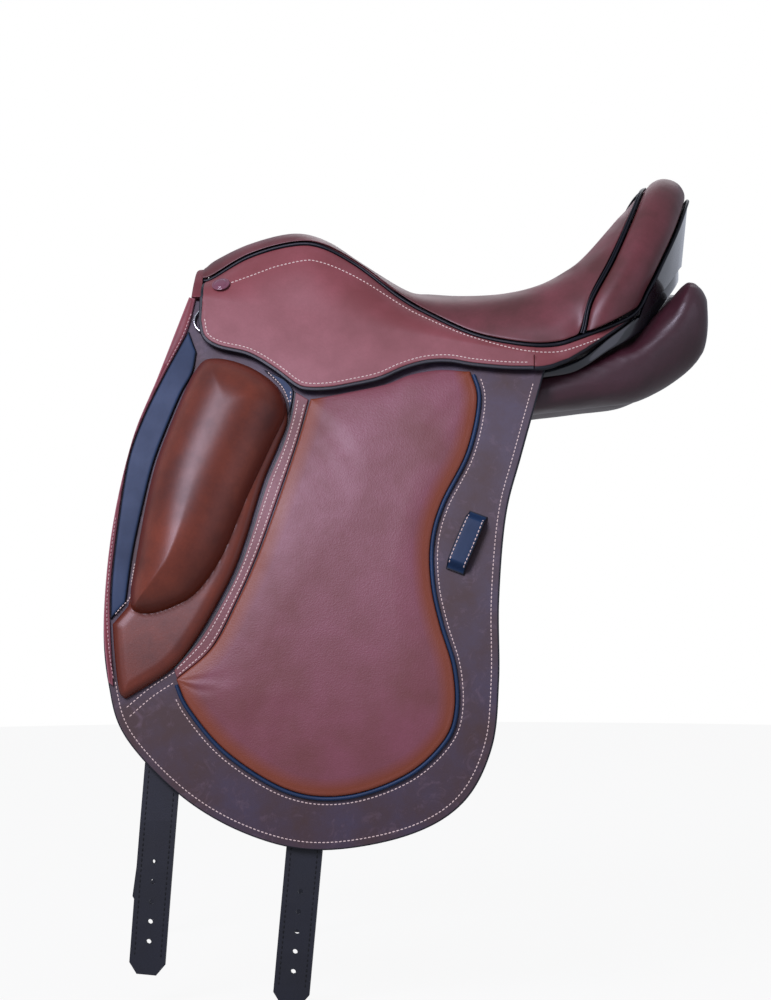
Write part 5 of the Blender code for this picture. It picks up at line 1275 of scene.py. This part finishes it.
def add_threads(keeper_rows, hem, band_grid, band_out):
    """Every row of stitches, one piece for each body."""
    outer = inset(stretch_of(FLAP_LINE, 5, 17), 0.0068)
    inner = inset(resampled(stretch_of(PAD_LINE, 5, 20)[4:-3], np.linspace(0, 1, 300)), 0.0070)
    lines = [outer[outer[:, 1] < 0.030][::3], inner[inner[:, 1] < 0.030][::5],
             [(-0.3317, -0.2672), (-0.3104, -0.2494), (-0.2881, -0.2351)],
             [(-0.3289, -0.2751), (-0.3084, -0.2573), (-0.2890, -0.2445)]]
    rows = [row_on_side(line, 0.0) for line in lines]
    front, rear = (resampled(smooth(line, 120), np.linspace(0.02, 0.99, 80))
                   for line in (STRIP_FRONT, STRIP_REAR))
    rows += [row_on_side(front + (rear - front) * share, STRIP_FACE) for share in (0.36, 0.84)]
    sew("flap_thread", rows + keeper_rows, THREAD, "flap")
    pale = [row_on_side([(-0.3255, -0.1391), (-0.3279, -0.1542), (-0.3292, -0.1693),
                         (-0.3372, -0.1786), (-0.3426, -0.1850)], 0.0030, 60),
            row_on_side([(-0.2080, 0.0345), (-0.1945, 0.0205), (-0.1880, 0.0060)], 0.0032, 60),
            row_on_side([(-0.1866, 0.0170), (-0.1868, 0.0060)], 0.0032)]
    sew("inlay_thread", pale, THREAD, "flap", pitch=0.0030, length=0.0023)
    upper = [(-0.2800, 0.0900), (-0.2880, 0.0670), (-0.3012, 0.0400)]
    lower = [(-0.3438, -0.0980), (-0.3478, -0.1367), (-0.3498, -0.1800), (-0.3470, -0.2165),
             (-0.3428, -0.2420)]
    sew("edge_thread", [row_on_side(upper, 0.0042, 60), row_on_side(lower, 0.0042, 90)],
        DARK_THREAD, "flap")
    along_hem = inset(hem, 0.0062)
    along_hem = along_hem[(along_hem[:, 1] < fold_z(along_hem[:, 0]) - 0.004)
                          & (along_hem[:, 0] < SKIRT_REAR_X - 0.004)]
    sew("skirt_thread", [row_on_side(along_hem[::3], SKIRT_FACE)], THREAD, "skirt")
    x = band_grid[:, 0, 0]
    share = np.interp(x, [-0.2480, -0.2300, -0.2050, -0.1700, -0.1450, -0.1000, -0.0500, 0.0],
                      [0.60, 0.50, 0.36, 0.25, 0.25, 0.24, 0.30, 0.38])
    used = (x > -0.2470) & (x < 0.098)
    total = np.linalg.norm(np.diff(band_grid, axis=1), axis=2).sum(1)
    turn = SKIRT_REAR_X - 0.05         # behind it, the row nears the hem: 6.8 mm at x = 0.1
    ahead = x < turn
    start = (share * total)[ahead][-1]
    share = np.where(ahead, share, np.interp(x, [turn, 0.1], [start, 0.0068]) / total)
    row = np.clip(share, 0.0, 0.99) * (band_grid.shape[1] - 1)
    low = row.astype(int)
    part = (row - low)[:, None]
    index = np.arange(len(x))
    line = band_grid[index, low] * (1.0 - part) + band_grid[index, low + 1] * part
    sew("band_thread", [(line[used], band_out[used])], THREAD, "saddle")


grid_of_band, out_of_band = add_top()
add_sides(grid_of_band, out_of_band)
add_billet_threads()

# Solids that show as they are
LOOKS = {"spring": SPRING, "stirrup_bar": STEEL, "bar_catch": STEEL, "front_billet": BILLET,
         "rear_billet": BILLET, "front_girth_web": WEB, "rear_girth_web": WEB,
         "dee_chape": BILLET}
LOOKS = {f"{side}_{node_name}": look for side in ("left", "right")
         for node_name, look in LOOKS.items()}
LOOKS.update(saddle_tree=RESIN, head_plate=STEEL)
for node_name, look in LOOKS.items():
    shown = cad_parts[node_name]
    for index in range(len(shown.material_slots)):
        shown.material_slots[index].material = look


def seen_white(tree):
    """1 to the camera and through glass and 0.30 to glossy rays, where the backdrop is white."""
    path = node(tree, 'ShaderNodeLightPath').outputs
    seen = maths(tree, 'MAXIMUM', path["Is Camera Ray"],
                 maths(tree, 'MULTIPLY', path["Is Glossy Ray"], 0.30))
    return maths(tree, 'MAXIMUM', seen, path["Is Transmission Ray"])


def add_floor():
    """Round floor, 1 mm under the billets, that keeps the shadow and is otherwise pale."""
    angle = np.linspace(0.0, TURN, 96, endpoint=False)[None]
    radius = np.array([0.0, 0.5, 1.2, 3.0])[:, None]
    points = np.stack([radius * np.cos(angle), radius * np.sin(angle),
                       0.0 * radius * angle - 0.531], -1)
    mesh = bpy.data.meshes.new("floor")
    mesh.from_pydata(points.reshape(-1, 3).tolist(), [], cells(4, 96, True).tolist())
    made, tree, shader = surface("floor", Roughness=0.9)
    shader.inputs["Base Color"].default_value = linear("#a4a4a4")
    glow = node(tree, 'ShaderNodeEmission', Strength=1.0)
    mix = node(tree, 'ShaderNodeMixShader', [
        (0, maths(tree, 'MULTIPLY', seen_white(tree), 0.93)), (1, shader.outputs[0]),
        (2, glow.outputs[0])])
    tree.links.new(mix.outputs[0], tree.nodes["Material Output"].inputs["Surface"])
    mesh.materials.append(made)
    floor = bpy.data.objects.new("floor", mesh)
    bpy.context.scene.collection.objects.link(floor)


def add_world():
    """World: pale bluish light, seen as white."""
    world = bpy.data.worlds.new("studio")
    bpy.context.scene.world = world
    world.use_nodes = True
    tree = world.node_tree
    back = tree.nodes["Background"]
    back.inputs["Color"].default_value = linear("#c3d0f2")
    back.inputs["Strength"].default_value = 0.42
    white = node(tree, 'ShaderNodeBackground', Color=(1.0, 1.0, 1.0, 1.0), Strength=1.0)
    mix = node(tree, 'ShaderNodeMixShader', [(0, seen_white(tree)), (1, back.outputs[0]),
                                             (2, white.outputs[0])])
    tree.links.new(mix.outputs[0], tree.nodes["World Output"].inputs["Surface"])


def placed(name, data, place, rotation):
    """Object for a light or a camera."""
    made = bpy.data.objects.new(name, data)
    made.location = place
    made.rotation_euler = rotation
    bpy.context.scene.collection.objects.link(made)
    return made


def add_stage():
    """Floor, world, soft area lights and the camera at the photograph's viewing angle."""
    add_floor()
    add_world()
    # Name, place, what it points at, size in metres, watts and colour
    for name, place, aim, size, power, colour in (
            ("key", (-1.3, -2.0, 1.5), (-0.1, -0.1, -0.05), 1.4, 76.0, "#ece6ff"),
            ("fill", (1.7, -1.6, 0.5), (0.0, 0.0, -0.1), 1.6, 5.0, "#e4e4ff"),
            ("back", (0.3, 1.9, 1.3), (0.0, 0.0, 0.0), 1.4, 6.0, "#ffffff")):
        light = bpy.data.lights.new(name, 'AREA')
        light.shape = 'DISK'
        light.size = size
        light.energy = power
        light.color = linear(colour)[:3]
        placed(name, light, place,
               (Vector(aim) - Vector(place)).to_track_quat('-Z', 'Y').to_euler())
    camera = bpy.data.cameras.new("camera")
    camera.lens = 101.25               # 0.96 m over the picture's height at 2.7 m
    camera.sensor_width = 36.0
    bpy.context.scene.camera = placed("camera", camera, (-0.10032, -2.7, -0.0816),
                                      (math.pi / 2.0, 0.0, 0.0))
    bpy.context.scene.view_settings.view_transform = 'Standard'


add_stage()
